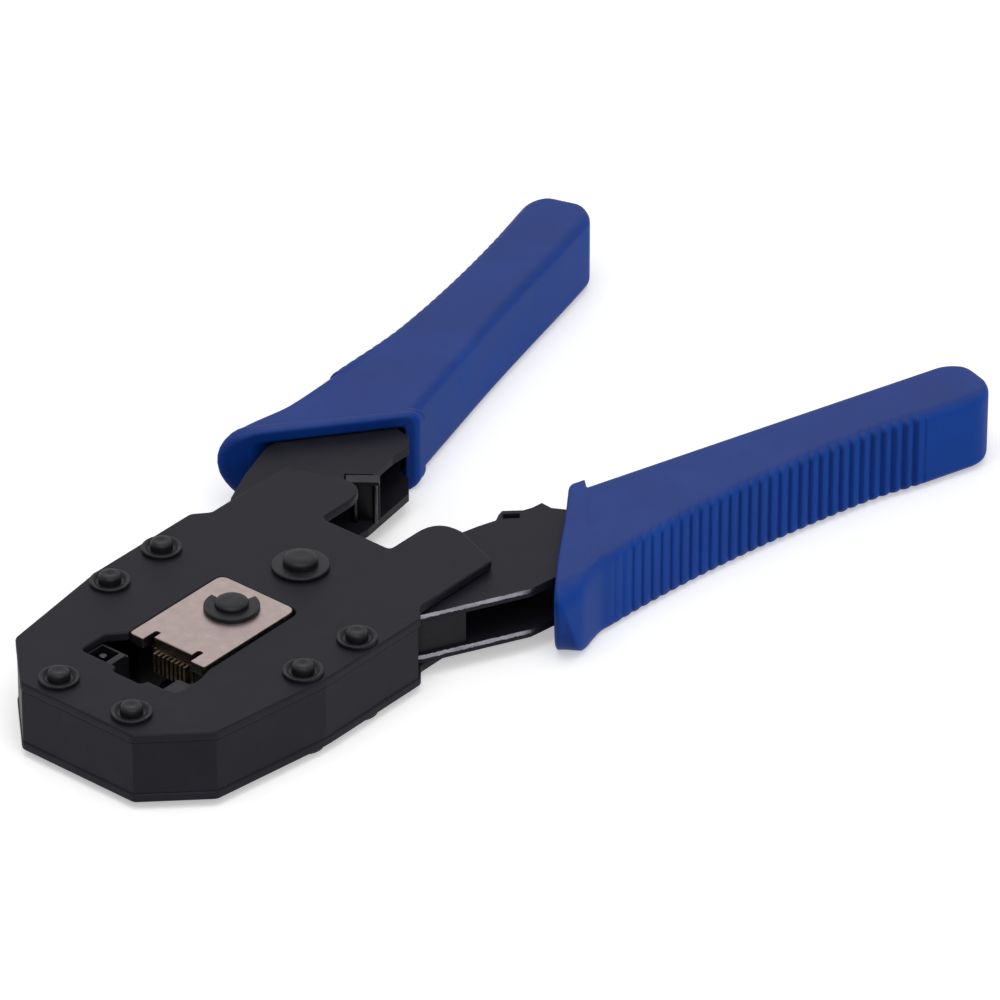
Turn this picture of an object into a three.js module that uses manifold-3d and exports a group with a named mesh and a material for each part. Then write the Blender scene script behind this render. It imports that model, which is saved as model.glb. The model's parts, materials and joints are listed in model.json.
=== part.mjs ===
// Crimping tool for eight-contact modular plugs, lying flat, in millimetres.
// The origin is on the main hinge's axis, at the underside of its rivet: +Z is up, +Y runs from the
// hinge towards the handles and -Y towards the nose. The fixed handle is on -X, the moving one on +X.
import * as THREE from "three";
import * as BufferGeometryUtils from "three/addons/utils/BufferGeometryUtils.js";
import Module from "manifold-3d";

const wasm = await Module();
wasm.setup();

// ---------------------------------------------------------------- driving dimensions

const FIT = 0.3; // gap between pieces that must pass each other or stay apart
const PRESS_GAP = 0.03; // radial gap between a pin and the hole that holds it
const RUN_GAP = 0.1; // radial gap between a pin and the hole it turns or slides in
const ROUND = 20; // sides of a round hole or pin

// Head, from the underside up
const FOOT = 1.6; // how far the rivet heads stand below the bottom plate
const PLATE_T = 1.8; // each side plate
const CORE_T = 10.8; // space between the side plates

// Head, outline of the side plates (half widths, because both sides are alike)
const HEAD_X = 27.8;
const HEAD_REAR_Y = 1.0;
const HEAD_TAPER_Y = -25;
const SHOULDER_X = 24.1;
const SHOULDER_Y = -50.4;
const NOSE_X = 13.4;
const NOSE_Y = -60.8;
const EAR_X = 25.2;
const EAR_FOOT_Y = 4;
const EAR_OUT_Y = 24.4;
const EAR_PEAK_X = 14.5;
const EAR_PEAK_Y = 28.4;
const EAR_ROUND_Y = 22.5; // where the ear's inner corner starts to turn
const NOTCH_X = 8.2;
const NOTCH_Y = 15.4;
const WALL_X = 19.6; // inner face of the head's side walls
const CORE_INSET = 0.2; // how far the core stays inside the plates' edges
const NOSE_WALL_Y = -49.7; // inner face of the nose
const RIGHT_WALL_END_Y = 0.6;
const RIGHT_WALL_HEEL_Y = -1.7; // the wall's inner corner is cut back beside the moving arm
const RIGHT_WALL_HEEL_X = 22.6; // where that cut ends
const TANG_END_Y = -33.7; // where the fixed arm's tang ends between the plates

// Window of the side plates, in which the ram slides
const RAM_X = 9; // half width of the ram's cheek plates
const SLIDE_GAP = 0.5;
const WINDOW_REAR_Y = -11.2;
const WINDOW_ROUND = 2;
const WINDOW_STEP_Y = -36.2; // from here to the nose the window widens
const WINDOW_LEFT_X = 12.3;
const WINDOW_RIGHT_X = 10.4;
const WINDOW_WIDE_Y = -39.2;
const WINDOW_FRONT_Y = -45.8;

// Plug cavity
const PLUG_X = 6.2; // half width
const PLUG_FLOOR_Y = -45.5;
const LATCH_X = 3.2;
const LATCH_FLOOR_Y = -47.3;
const NEST_X = 15;
const NEST_REAR_GAP = 1.4; // left between the closed ram's block and the nest
const NEST_LIP = 0.5; // how far the nest stands into the windows
const RELIEF_WALL = 1.4; // between the cavity and the relief hole beside it
const RELIEF_REAR_Y = -40.9;
const RELIEF_DEPTH = 5.2;
const NEST_PIN_R = 0.8;
const NEST_PIN_X = -10;
const NEST_PIN_Y = -42.6;

// Main hinge
const HINGE_R = 2.9; // rivet shank
const HINGE_HEAD_LIP = 0.35; // how far the rivet's heads stand out past its shank
const HINGE_HEAD_T = 1.3;
const WASHER_WIDTH = 2.42;
const WASHER_T = 0.9;
const BUSH_R = 4.8;
const HUB_R = 10.5;

// Body rivets
const RIVET_R = 2.2;
const RIVET_FLANGE_WIDTH = 1.55;
const RIVET_FLANGE_T = 0.8;
const RIVET_HEAD_T = 1.2;
const RIVET_PLACES = {
  nose: { x: 8.7, y: NOSE_Y + 5.2 },
  front: { x: HEAD_X - 4.6, y: -26 },
  rear: { x: HEAD_X - 4.3, y: -11.6 },
};

// Handle motion: closing turns the moving handle about the hinge, and a spiral slot drives the ram
const CLOSING = THREE.MathUtils.degToRad(32);
const STROKE = 3.5;
const PIN_R = 2.5;
const PIN_Y = -18.9;
const PIN_HEAD_LIP = 0.6;
const PIN_HEAD_T = 1.1;
const RING_WIDTH = 2.62;
const RING_T = 0.9;
const RING_OPENING_TURN = THREE.MathUtils.degToRad(126); // which way the ring opens
const RING_OPENING_ANGLE = THREE.MathUtils.degToRad(100);
const SLOT_WALL = 3; // metal round the slot

// Arms: pressed channels, of two flanges and a web
const ARM_GAP = 0.2; // between the moving arm's flanges and the side plates
const FLANGE_T = 1.7;
const WEB_T = 1.8;
const STRIP_POCKET_DEPTH = 1.4;
const SPACER_RECESS = 0.5; // how far the cam block stays inside the flanges' outer edge
const DOWEL_R = 1.5;
const DOWEL_FRONT = [-5.5, -10.5];
const DOWEL_REAR = [15, 10];

// Ram
const CHEEK_T = 2.15;
const CHEEK_GAP = 0.1; // from the side plates' inner faces to the cheeks' inner faces
const CHEEK_REAR_GAP = 0.3;
const CHEEK_FRONT_Y = -34.9;
const FINGER_FRONT_Y = -36.6;
const FINGER_X = 5.65; // inner side of the two fingers
const CHEEK_SLIT_X = 4.55; // outer side of the middle
const CHEEK_SLIT_Y = -33;
const RAM_BLOCK_X = 8.8;
const RAM_BLOCK_GAP = 3.4; // from the cam lobe to the ram block
const RAM_DOWEL_X = 6.2;
const RAM_DOWEL_R = 1.3;
const RAM_DOWEL_DEPTH = 1.1;

// Crimping comb and strain relief pusher
const CONTACT_PITCH = 1.02;
const CONTACTS = 8;
const CONTACT_T = 0.5;
const TOOTH_TIP_Y = -36;
const COMB_X = 4.7;
const COMB_DEPTH = 1.5;
const COMB_TOP_GAP = 0.3; // from the upper cheek to the comb
const COMB_H = 4.6;
const TOOTH_INSET = 0.2; // how much lower than the comb's bar the teeth start
const PUSHER_X = 3;
const PUSHER_GAP = 2; // from the comb down to the pusher
const PUSHER_H = 3;
const PUSHER_TIP_Y = -36.8;

// Return spring round the bushing
const SPringR = 6.5;
const SPRING_WIRE_R = 0.5;
const SPRING_TURNS = 3;
const SPRING_GAP = 0.2; // from the pocket's floor and ceiling to the spring
const SPRING_POCKET_R = 7.9;
const SPRING_POCKET_FLOOR = 1.5; // metal left under the spring
const SPRING_LEG_END = [-15.7, 4.3];
const SPRING_HOOK = 7;
const SPRING_SIDES = 6;

// Blades beside the notch: the holder's middle, and the way the blades point
const BLADE_HOLDER = [-12.75, 32.85];
const BLADE_ANGLE = THREE.MathUtils.degToRad(-51.7);
const BLADE_SPACING = 3.85;
const BLADE_T = 0.9;
const CUTTER_REACH = 1.1; // how far each blade stands out of the holder
const STRIPPER_REACH = 1;
const HOLDER_WIDTH = 5.3;
const HOLDER_DEPTH = 1.5;
const HOLDER_TAB_T = 0.8;
const HOLDER_TAB_SIDE = 1; // how far the tab stands out past the holder's left side
const BLADE_SEAT = 1;
const TOP_FLANGE_SETBACK = 1.6; // the fixed arm's top flange is narrower than the lower one here

// Handles. A handle's own frame has v along its inner edge, away from the head, and u outward from it.
const MOVING = { side: 1, angle: THREE.MathUtils.degToRad(17.3), offset: 5.2 };
const FIXED = { side: -1, angle: THREE.MathUtils.degToRad(15.9), offset: 3.4 };
const GRIP_END_V = 142.4;
const GRIP_TIP_STRAIGHT = 10.4; // length of the tip whose sides are parallel
const GRIP_TAPER_START_V = 40;
const GRIP_TIP_W = 12.8;
const GRIP_SWELL = 12.2; // how much wider the grip is at the mouth end of its taper
const GRIP_TAPER_POWER = 2.17;
const GRIP_TIP_ROUND = 5.6;
const GRIP_COVER = 2.5; // plastic over and under the fixed arm
const GRIP_EDGE = 2; // rounding of the grip's long edges
const GRIP_WALL = 2.2;
const MOUTH_INNER = [-2.1, 56.3];
const MOUTH_OUTER = [28.8, 33.1];
const LIP_T = 3;
const MOUTH_FLARE = 1.6; // how much the grip widens where it meets the rim
const LIP_INNER_ROUND = 2.7; // rounding of the rim's two inner corners
const LIP_OUTER_ROUND = 6.5;
const MOUTH_GAP = 0.7; // between the arm and the mouth's top and bottom
const MOUTH_DEPTH = 5;
const GRIP_TIP_SOLID = 14.4; // the tip past the arm's end
const TANG_INNER_U = 2.3;
const RIB_PITCH = 2.45;
const RIB_START_V = 50;
const RIB_TIP_GAP = 16; // from the last rib to the grip's end
const RIB_DEPTH = 0.5;

// ---------------------------------------------------------------- sizes that follow

const hingeHeadR = HINGE_R + HINGE_HEAD_LIP;
const washerR = HINGE_R + PRESS_GAP + WASHER_WIDTH;
const rivetFlangeR = RIVET_R + RIVET_FLANGE_WIDTH;
const pinHeadR = PIN_R + PIN_HEAD_LIP;
const ringR = PIN_R + PRESS_GAP + RING_WIDTH;
const reliefX = PLUG_X + RELIEF_WALL;
const nestRearY = CHEEK_FRONT_Y - STROKE - NEST_REAR_GAP;
const gripT = CORE_T + 2 * GRIP_COVER;
const mouthHeight = CORE_T + 2 * MOUTH_GAP;
const tangEndV = GRIP_END_V - GRIP_TIP_SOLID;
const taperEndV = GRIP_END_V - GRIP_TIP_STRAIGHT;
const ribEndV = GRIP_END_V - RIB_TIP_GAP;

// Levels

const zPlateLow = FOOT;
const zCoreLow = zPlateLow + PLATE_T;
const zCoreHigh = zCoreLow + CORE_T;
const zTop = zCoreHigh + PLATE_T;
const zMid = (zCoreLow + zCoreHigh) / 2;
const zArmLow = zCoreLow + ARM_GAP;
const zArmHigh = zCoreHigh - ARM_GAP;

// ---------------------------------------------------------------- shapes and solids

// Turns a closed geometry into a solid that can be joined and cut.
function toSolid(geometry) {
  const bare = new THREE.BufferGeometry();
  bare.setAttribute("position", geometry.getAttribute("position"));
  if (geometry.index) bare.setIndex(geometry.index);
  const merged = BufferGeometryUtils.mergeVertices(bare, 1e-4);
  const corners = merged.index.array;
  const kept = [];
  for (let i = 0; i < corners.length; i += 3) {
    const [a, b, c] = corners.slice(i, i + 3);
    if (a !== b && b !== c && c !== a) kept.push(a, b, c);
  }
  const mesh = new wasm.Mesh({
    numProp: 3,
    vertProperties: merged.attributes.position.array,
    triVerts: new Uint32Array(kept),
  });
  return new wasm.Manifold(mesh);
}

// A shape in plan, as a solid from z = low to z = high.
function slab(shape, low, high) {
  const geometry = new THREE.ExtrudeGeometry(shape, {
    depth: high - low,
    bevelEnabled: false,
    curveSegments: 6,
  });
  geometry.translate(0, 0, low);
  return toSolid(geometry);
}

// A closed outline through [x, y] points.
function outline(points) {
  return new THREE.Shape(points.map(([x, y]) => new THREE.Vector2(x, y)));
}

// A rectangle between two corners.
function rectangle(x0, y0, x1, y1) {
  return outline([
    [x0, y0],
    [x1, y0],
    [x1, y1],
    [x0, y1],
  ]);
}

// A disc with ROUND sides.
function disc(x, y, radius) {
  const points = [];
  for (let i = 0; i < ROUND; i++) {
    const turn = (2 * Math.PI * i) / ROUND;
    points.push([x + radius * Math.cos(turn), y + radius * Math.sin(turn)]);
  }
  return outline(points);
}

// A body of revolution about the vertical through (x, y): the profile lists [radius, z], from the
// lowest point on the axis to the highest.
function turned(x, y, profile) {
  const points = profile.map(([radius, z]) => new THREE.Vector2(radius, z));
  const geometry = new THREE.LatheGeometry(points, ROUND);
  geometry.rotateX(Math.PI / 2);
  geometry.translate(x, y, 0);
  return toSolid(geometry);
}

// Joins a list of solids.
function joined(solids) {
  return solids.reduce((sum, solid) => sum.add(solid));
}

// Cuts a list of solids from one solid.
function cut(solid, cutters) {
  return cutters.reduce((rest, cutter) => rest.subtract(cutter), solid);
}

// A round hole or pin right through the tool.
function through(x, y, radius) {
  return slab(disc(x, y, radius), -1, zTop + 5);
}

// A ring from z = low to z = high.
function ring(x, y, outer, inner, low, high) {
  return cut(slab(disc(x, y, outer), low, high), [through(x, y, inner)]);
}

// ---------------------------------------------------------------- materials

const blackSteel = { color: 0x2e2d33, roughness: 0.5, metalness: 0.4 };
const blackedSteel = { color: 0x3a393f, roughness: 0.42, metalness: 0.5 };
const nickel = { color: 0xb7aaa6, roughness: 0.3, metalness: 0.9 };
const bladeSteel = { color: 0x9b9ba3, roughness: 0.28, metalness: 0.9 };
const springSteel = { color: 0x6d6d74, roughness: 0.35, metalness: 0.85 };
const brass = { color: 0xa38552, roughness: 0.35, metalness: 0.9 };
const bluePlastic = { color: 0x1f4390, roughness: 0.5, metalness: 0 };

const tool = new THREE.Group();

// Adds a solid to the tool as a named mesh with a material of its own.
function addPiece(name, solid, finish) {
  const faces = solid.getMesh();
  const geometry = new THREE.BufferGeometry();
  geometry.setAttribute("position", new THREE.BufferAttribute(faces.vertProperties, 3));
  geometry.setIndex(new THREE.BufferAttribute(faces.triVerts, 1));
  geometry.computeVertexNormals();
  const mesh = new THREE.Mesh(geometry, new THREE.MeshStandardMaterial(finish));
  mesh.name = name;
  tool.add(mesh);
}

// ---------------------------------------------------------------- head outlines

// The side plates' outline, or the same outline drawn in by an inset.
function headOutline(inset) {
  const earCorner = new THREE.QuadraticBezierCurve(
    new THREE.Vector2(EAR_PEAK_X, EAR_PEAK_Y),
    new THREE.Vector2(NOTCH_X, EAR_PEAK_Y + 0.7),
    new THREE.Vector2(NOTCH_X, EAR_ROUND_Y),
  );
  const right = [
    [NOSE_X - inset / 2, NOSE_Y + inset],
    [SHOULDER_X - inset, SHOULDER_Y + inset / 2],
    [HEAD_X - inset, HEAD_TAPER_Y],
    [HEAD_X - inset, HEAD_REAR_Y],
    [EAR_X - inset, EAR_FOOT_Y],
    [EAR_X - inset, EAR_OUT_Y],
    ...earCorner.getPoints(6).map((point) => [point.x, point.y]),
    [NOTCH_X, NOTCH_Y + 1],
    [NOTCH_X - 1, NOTCH_Y],
  ];
  const left = right.map(([x, y]) => [-x, y]).reverse();
  return outline([...right, ...left]);
}

// The window in both side plates: a straight run for the ram, a wide end for the nest, and the
// latch relief at its front.
function windowOutline() {
  const half = RAM_X + SLIDE_GAP;
  const shape = new THREE.Shape();
  shape.moveTo(-half, WINDOW_REAR_Y - WINDOW_ROUND);
  shape.quadraticCurveTo(-half, WINDOW_REAR_Y, -half + WINDOW_ROUND, WINDOW_REAR_Y);
  shape.lineTo(half - WINDOW_ROUND, WINDOW_REAR_Y);
  shape.quadraticCurveTo(half, WINDOW_REAR_Y, half, WINDOW_REAR_Y - WINDOW_ROUND);
  shape.lineTo(half, WINDOW_STEP_Y);
  shape.lineTo(WINDOW_RIGHT_X, WINDOW_WIDE_Y);
  shape.lineTo(WINDOW_RIGHT_X, WINDOW_FRONT_Y);
  shape.lineTo(LATCH_X + 0.7, WINDOW_FRONT_Y);
  shape.lineTo(LATCH_X, LATCH_FLOOR_Y);
  shape.lineTo(-LATCH_X, LATCH_FLOOR_Y);
  shape.lineTo(-LATCH_X - 0.7, WINDOW_FRONT_Y);
  shape.lineTo(-WINDOW_LEFT_X, WINDOW_FRONT_Y);
  shape.lineTo(-WINDOW_LEFT_X, WINDOW_WIDE_Y);
  shape.lineTo(-half, WINDOW_STEP_Y);
  return shape;
}

// Names, sides and places of the six body rivets.
function rivetPlaces() {
  const places = [];
  for (const [row, { x, y }] of Object.entries(RIVET_PLACES)) {
    places.push({ name: `rivet_${row}_left`, x: -x, y });
    places.push({ name: `rivet_${row}_right`, x, y });
  }
  return places;
}

// Holes for the six body rivets.
function rivetHoles() {
  return rivetPlaces().map(({ x, y }) => through(x, y, RIVET_R + PRESS_GAP));
}

// ---------------------------------------------------------------- handle outlines

// A point of a handle's own frame, in the tool's frame.
function handlePoint(handle, u, v) {
  const sine = Math.sin(handle.angle);
  const cosine = Math.cos(handle.angle);
  const across = u + handle.offset;
  return [handle.side * (across * cosine + v * sine), -across * sine + v * cosine];
}

// How far the grip's outer edge stands from its inner edge: straight near the tip, and a power
// curve that swells towards the mouth.
function gripWidth(v) {
  const reach = Math.max(0, taperEndV - v) / (taperEndV - GRIP_TAPER_START_V);
  return GRIP_TIP_W + GRIP_SWELL * reach ** GRIP_TAPER_POWER;
}

// Where the mouth's front line is along the handle, at a distance u from the inner edge.
function mouthV(u) {
  const share = (u - MOUTH_INNER[0]) / (MOUTH_OUTER[0] - MOUTH_INNER[0]);
  return MOUTH_INNER[1] + share * (MOUTH_OUTER[1] - MOUTH_INNER[1]);
}

// The outer edge drawn in by an inset, as points from v = from to v = to.
function outerEdge(inset, from, to, steps) {
  const points = [];
  for (let i = 0; i <= steps; i++) {
    const v = from + ((to - from) * i) / steps;
    points.push([gripWidth(v) - inset, v]);
  }
  return points;
}

// The part of an arm that the grip covers, with its sides drawn out by a clearance.
function tangPoints(clearance) {
  const reach = 50; // the tang follows the grip's outer wall from here on
  return [
    ...outerEdge(GRIP_WALL + FIT - clearance, reach, tangEndV + clearance, 10),
    [TANG_INNER_U - clearance, tangEndV + clearance],
  ];
}

// ---------------------------------------------------------------- head pieces

function sidePlate(low) {
  const plate = slab(headOutline(0), low, low + PLATE_T);
  return cut(plate, [
    slab(windowOutline(), 0, zTop + 1),
    through(0, 0, HINGE_R + PRESS_GAP),
    ...rivetHoles(),
  ]);
}

// Nose, right wall and the stub of the left wall, in one piece. The fixed arm's tang closes the rest
// of the left side, and the moving arm leaves past the end of the right wall.
function headFrame() {
  const far = 2 * HEAD_X;
  return cut(slab(headOutline(CORE_INSET), zCoreLow, zCoreHigh), [
    slab(rectangle(-WALL_X, NOSE_WALL_Y, WALL_X, far), 0, zTop),
    slab(rectangle(-far, TANG_END_Y, 0, far), 0, zTop),
    slab(
      outline([
        [0, RIGHT_WALL_HEEL_Y],
        [WALL_X, RIGHT_WALL_HEEL_Y],
        [RIGHT_WALL_HEEL_X, RIGHT_WALL_END_Y],
        [far, RIGHT_WALL_END_Y],
        [far, far],
        [0, far],
      ]),
      0,
      zTop,
    ),
    ...rivetHoles(),
  ]);
}

// The plug cavity with its latch relief, open towards the ram and through both windows.
function dieNest() {
  const lipRearY = FINGER_FRONT_Y - STROKE - 0.4;
  const block = slab(
    rectangle(-NEST_X, NOSE_WALL_Y, NEST_X, nestRearY),
    zCoreLow,
    zCoreHigh,
  );
  const lip = slab(
    rectangle(-WINDOW_LEFT_X + FIT, WINDOW_FRONT_Y + FIT, WINDOW_RIGHT_X - FIT, lipRearY),
    zCoreLow - NEST_LIP,
    zCoreHigh + NEST_LIP,
  );
  return cut(block.add(lip), [
    slab(rectangle(-PLUG_X, PLUG_FLOOR_Y, PLUG_X, 0), 0, zTop),
    slab(rectangle(-LATCH_X, LATCH_FLOOR_Y, LATCH_X, 0), 0, zTop),
    slab(
      rectangle(-WINDOW_LEFT_X + 2 * FIT, PLUG_FLOOR_Y, -reliefX, RELIEF_REAR_Y),
      zCoreHigh - RELIEF_DEPTH,
      zTop,
    ),
  ]);
}

// A flanged rivet: flat foot, flange and shank below, flange and low button above.
function bodyRivet(x, y) {
  return turned(x, y, [
    [0, 0],
    [RIVET_R, 0],
    [RIVET_R, zPlateLow - RIVET_FLANGE_T],
    [rivetFlangeR, zPlateLow - RIVET_FLANGE_T],
    [rivetFlangeR, zPlateLow],
    [RIVET_R, zPlateLow],
    [RIVET_R, zTop],
    [rivetFlangeR, zTop],
    [rivetFlangeR, zTop + RIVET_FLANGE_T / 2],
    [RIVET_R, zTop + RIVET_FLANGE_T],
    [RIVET_R - 0.3, zTop + RIVET_FLANGE_T + RIVET_HEAD_T],
    [0, zTop + RIVET_FLANGE_T + RIVET_HEAD_T],
  ]);
}

// The hinge's rivet: a flat foot at z = 0, a shank and a low domed head over the top washer.
function hingeRivet() {
  const washerLow = zPlateLow - WASHER_T;
  const washerHigh = zTop + WASHER_T;
  return turned(0, 0, [
    [0, 0],
    [hingeHeadR, 0],
    [hingeHeadR, washerLow],
    [HINGE_R, washerLow],
    [HINGE_R, washerHigh],
    [hingeHeadR, washerHigh],
    [hingeHeadR, washerHigh + HINGE_HEAD_T / 2],
    [hingeHeadR - 0.7, washerHigh + HINGE_HEAD_T - 0.1],
    [0, washerHigh + HINGE_HEAD_T],
  ]);
}

addPiece("top_side_plate", sidePlate(zCoreHigh), blackSteel);
addPiece("bottom_side_plate", sidePlate(zPlateLow), blackSteel);
addPiece("head_frame", headFrame(), blackSteel);
addPiece("die_nest", dieNest(), blackedSteel);
addPiece(
  "nest_pin",
  slab(disc(NEST_PIN_X, NEST_PIN_Y, NEST_PIN_R), zCoreHigh - RELIEF_DEPTH, zCoreHigh),
  bladeSteel,
);
for (const { name, x, y } of rivetPlaces()) addPiece(name, bodyRivet(x, y), blackedSteel);
addPiece("pivot_rivet", hingeRivet(), blackedSteel);
addPiece(
  "pivot_washer_top",
  ring(0, 0, washerR, HINGE_R + PRESS_GAP, zTop, zTop + WASHER_T),
  blackedSteel,
);
addPiece(
  "pivot_washer_bottom",
  ring(0, 0, washerR, HINGE_R + PRESS_GAP, zPlateLow - WASHER_T, zPlateLow),
  blackedSteel,
);
addPiece(
  "pivot_bushing",
  ring(0, 0, BUSH_R, HINGE_R + PRESS_GAP, zCoreLow, zCoreHigh),
  springSteel,
);

// ---------------------------------------------------------------- fixed arm and its blades

// The blade holder's own frame: t along the blades, away from the holder, and s to their right.
function bladePoint(t, s) {
  const forward = [Math.cos(BLADE_ANGLE), Math.sin(BLADE_ANGLE)];
  return [
    BLADE_HOLDER[0] + t * forward[0] - s * forward[1],
    BLADE_HOLDER[1] + t * forward[1] + s * forward[0],
  ];
}

// A rectangle in the blade holder's frame.
function bladeRectangle(t0, s0, t1, s1) {
  return outline([bladePoint(t0, s0), bladePoint(t1, s0), bladePoint(t1, s1), bladePoint(t0, s1)]);
}

const fixedInner = [
  [-16.4, 49.5],
  [-12.8, 45.3],
  [-11.7, 38.5],
  [-10.5, 31],
  [-10.8, 16],
  [-13.5, 9],
  [-WALL_X - 0.2, -2],
];

const fixedOuter = [
  [-HEAD_X + CORE_INSET, TANG_END_Y + FIT],
  [-HEAD_X + CORE_INSET, HEAD_REAR_Y],
  [-EAR_X + CORE_INSET, EAR_FOOT_Y],
  [-EAR_X + CORE_INSET, 8.5],
  [-27.5, 12],
  [-31, 20],
  [-34, 29],
];

// The fixed arm in plan, from its tang in the head to its end inside the grip.
function fixedArmOutline() {
  return outline([
    ...fixedOuter,
    handlePoint(FIXED, 20.6, 40),
    ...tangPoints(0).map(([u, v]) => handlePoint(FIXED, u, v)),
    handlePoint(FIXED, TANG_INNER_U, 54),
    ...fixedInner,
    [-WALL_X - 0.2, TANG_END_Y + FIT],
  ]);
}

// A channel that is open towards the moving arm, with its top flange cut back round the blades and
// from there to the grip.
function fixedArm() {
  const open = slab(fixedArmOutline(), zCoreLow + FLANGE_T, zCoreHigh - FLANGE_T);
  const half = HOLDER_WIDTH / 2;
  const back = -HOLDER_DEPTH - FIT;
  const bladeRoom = outline([
    bladePoint(back, -half - HOLDER_TAB_SIDE - FIT),
    bladePoint(back, half + FIT),
    bladePoint(4 * HOLDER_DEPTH, half + FIT),
    bladePoint(4 * HOLDER_DEPTH, -half - FIT),
    bladePoint(0, -half - HOLDER_TAB_SIDE - FIT),
  ]);
  const setback = slab(fixedArmOutline(), zCoreLow + FLANGE_T, zTop).translate([
    TOP_FLANGE_SETBACK,
    0,
    0,
  ]);
  const beyondBlades = slab(
    outline([
      bladePoint(back, 0),
      bladePoint(4 * HOLDER_DEPTH, 0),
      [0, MOUTH_INNER[1]],
      [-HEAD_X / 2, MOUTH_INNER[1]],
    ]),
    zCoreLow + FLANGE_T,
    zTop,
  );
  return cut(slab(fixedArmOutline(), zCoreLow, zCoreHigh), [
    open.translate([WEB_T, 0, 0]),
    slab(bladeRoom, zCoreLow + FLANGE_T, zTop),
    beyondBlades.subtract(setback.translate([-2 * TOP_FLANGE_SETBACK, 0, 0])),
    ...rivetHoles(),
  ]);
}

// The block between the tang's flanges, which the rear and front left rivets pass through.
function fixedArmSpacer() {
  return cut(
    slab(
      outline([
        [-HEAD_X + CORE_INSET + WEB_T + FIT, TANG_END_Y + 2 * FIT],
        [-WALL_X - 0.2, TANG_END_Y + 2 * FIT],
        [-WALL_X - 0.2, -2],
        [-16.4, 4],
        [-EAR_X + CORE_INSET + WEB_T + FIT, 6],
        [-EAR_X + CORE_INSET + WEB_T + FIT, EAR_FOOT_Y],
        [-HEAD_X + CORE_INSET + WEB_T + FIT, HEAD_REAR_Y],
      ]),
      zCoreLow + FLANGE_T,
      zCoreHigh - FLANGE_T,
    ),
    rivetHoles(),
  );
}

// The block that holds both blades, standing on the lower flange, with a tab over their tops.
function bladeHolder() {
  const half = HOLDER_WIDTH / 2;
  const floor = zCoreLow + FLANGE_T;
  const tabLow = zCoreHigh - HOLDER_TAB_T;
  const block = slab(bladeRectangle(-HOLDER_DEPTH, -half, 0, half), floor, tabLow);
  const tab = slab(
    bladeRectangle(-HOLDER_DEPTH, -half - HOLDER_TAB_SIDE, CUTTER_REACH, half),
    tabLow,
    zCoreHigh,
  );
  const slots = [-1, 1].map((side) => {
    const middle = (side * BLADE_SPACING) / 2;
    const reach = BLADE_T / 2 + PRESS_GAP;
    const seat = -BLADE_SEAT - PRESS_GAP;
    return slab(bladeRectangle(seat, middle - reach, 1, middle + reach), zCoreLow, tabLow);
  });
  return cut(joined([block, tab]), slots);
}

// A blade, ground to an edge at its far end.
function blade(middle, reach) {
  const half = BLADE_T / 2;
  const edge = BLADE_T / 3;
  return slab(
    outline([
      bladePoint(-BLADE_SEAT, middle - half),
      bladePoint(reach - edge, middle - half),
      bladePoint(reach, middle - half / 3),
      bladePoint(reach, middle + half / 3),
      bladePoint(reach - edge, middle + half),
      bladePoint(-BLADE_SEAT, middle + half),
    ]),
    zCoreLow + FLANGE_T + PRESS_GAP,
    zCoreHigh - HOLDER_TAB_T - PRESS_GAP,
  );
}

addPiece("fixed_arm", fixedArm(), blackSteel);
addPiece("fixed_arm_spacer", fixedArmSpacer(), blackedSteel);
addPiece("blade_holder", bladeHolder(), blackedSteel);
addPiece("cutter_blade", blade(BLADE_SPACING / 2, CUTTER_REACH), bladeSteel);
addPiece("stripper_blade", blade(-BLADE_SPACING / 2, STRIPPER_REACH), bladeSteel);

// ---------------------------------------------------------------- moving arm and cam

// Where the ram's pin stands in the moving arm after a turn: the radius grows evenly with the
// angle, so the ram moves by the same amount for each degree.
function camPoint(turn, sideways) {
  const radius = -PIN_Y + (STROKE * turn) / CLOSING;
  const point = [-radius * Math.sin(turn), -radius * Math.cos(turn)];
  const growth = STROKE / CLOSING;
  const along = [
    -growth * Math.sin(turn) - radius * Math.cos(turn),
    -growth * Math.cos(turn) + radius * Math.sin(turn),
  ];
  const length = Math.hypot(...along);
  return [
    point[0] + (sideways * along[1]) / length,
    point[1] - (sideways * along[0]) / length,
  ];
}

// A band of even width along the cam curve, with round ends.
function camBand(halfWidth, low, high) {
  const steps = 9;
  const overrun = THREE.MathUtils.degToRad(0.6);
  const turns = [];
  for (let i = 0; i <= steps; i++) {
    turns.push(-overrun + ((CLOSING + 2 * overrun) * i) / steps);
  }
  const band = outline([
    ...turns.map((turn) => camPoint(turn, halfWidth)),
    ...turns.reverse().map((turn) => camPoint(turn, -halfWidth)),
  ]);
  const ends = [-overrun, CLOSING + overrun].map((turn) => {
    const [x, y] = camPoint(turn, 0);
    return slab(disc(x, y, halfWidth), low, high);
  });
  return joined([slab(band, low, high), ...ends]);
}

// Hub and cam lobe in plan, drawn out by a margin.
function hubAndLobe(margin, low, high) {
  const lobe = PIN_R + RUN_GAP + SLOT_WALL;
  const neck = outline([[0, 0], camPoint(CLOSING, 0), camPoint(CLOSING / 2, 0), camPoint(0, 0)]);
  return joined([
    slab(disc(0, 0, HUB_R + margin), low, high),
    slab(neck, low, high),
    camBand(lobe + margin, low, high),
  ]);
}

// The inner edge has two small steps before it enters the grip, and a wire stripping pocket.
const movingInner = [
  [19.9, 47.5],
  [17.4, 47.7],
  [17.1, 45.3],
  [16.4, 43.5],
  [13.6, 40.9],
  [13.9, 39.5],
  [14.8, 37.6],
  [13.6, 34],
  [8.6, 14],
  [0, 8],
];

const pocketCorners = [
  [14.3, 40.1],
  [16.6, 42.3],
  [17.7, 41.1],
  [15.4, 38.9],
];

const movingOuter = [
  [0, -8],
  [16, -4],
  [22.6, RIGHT_WALL_END_Y + 0.5],
  [25.2, 4.5],
  [34.7, 23.8],
];

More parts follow.
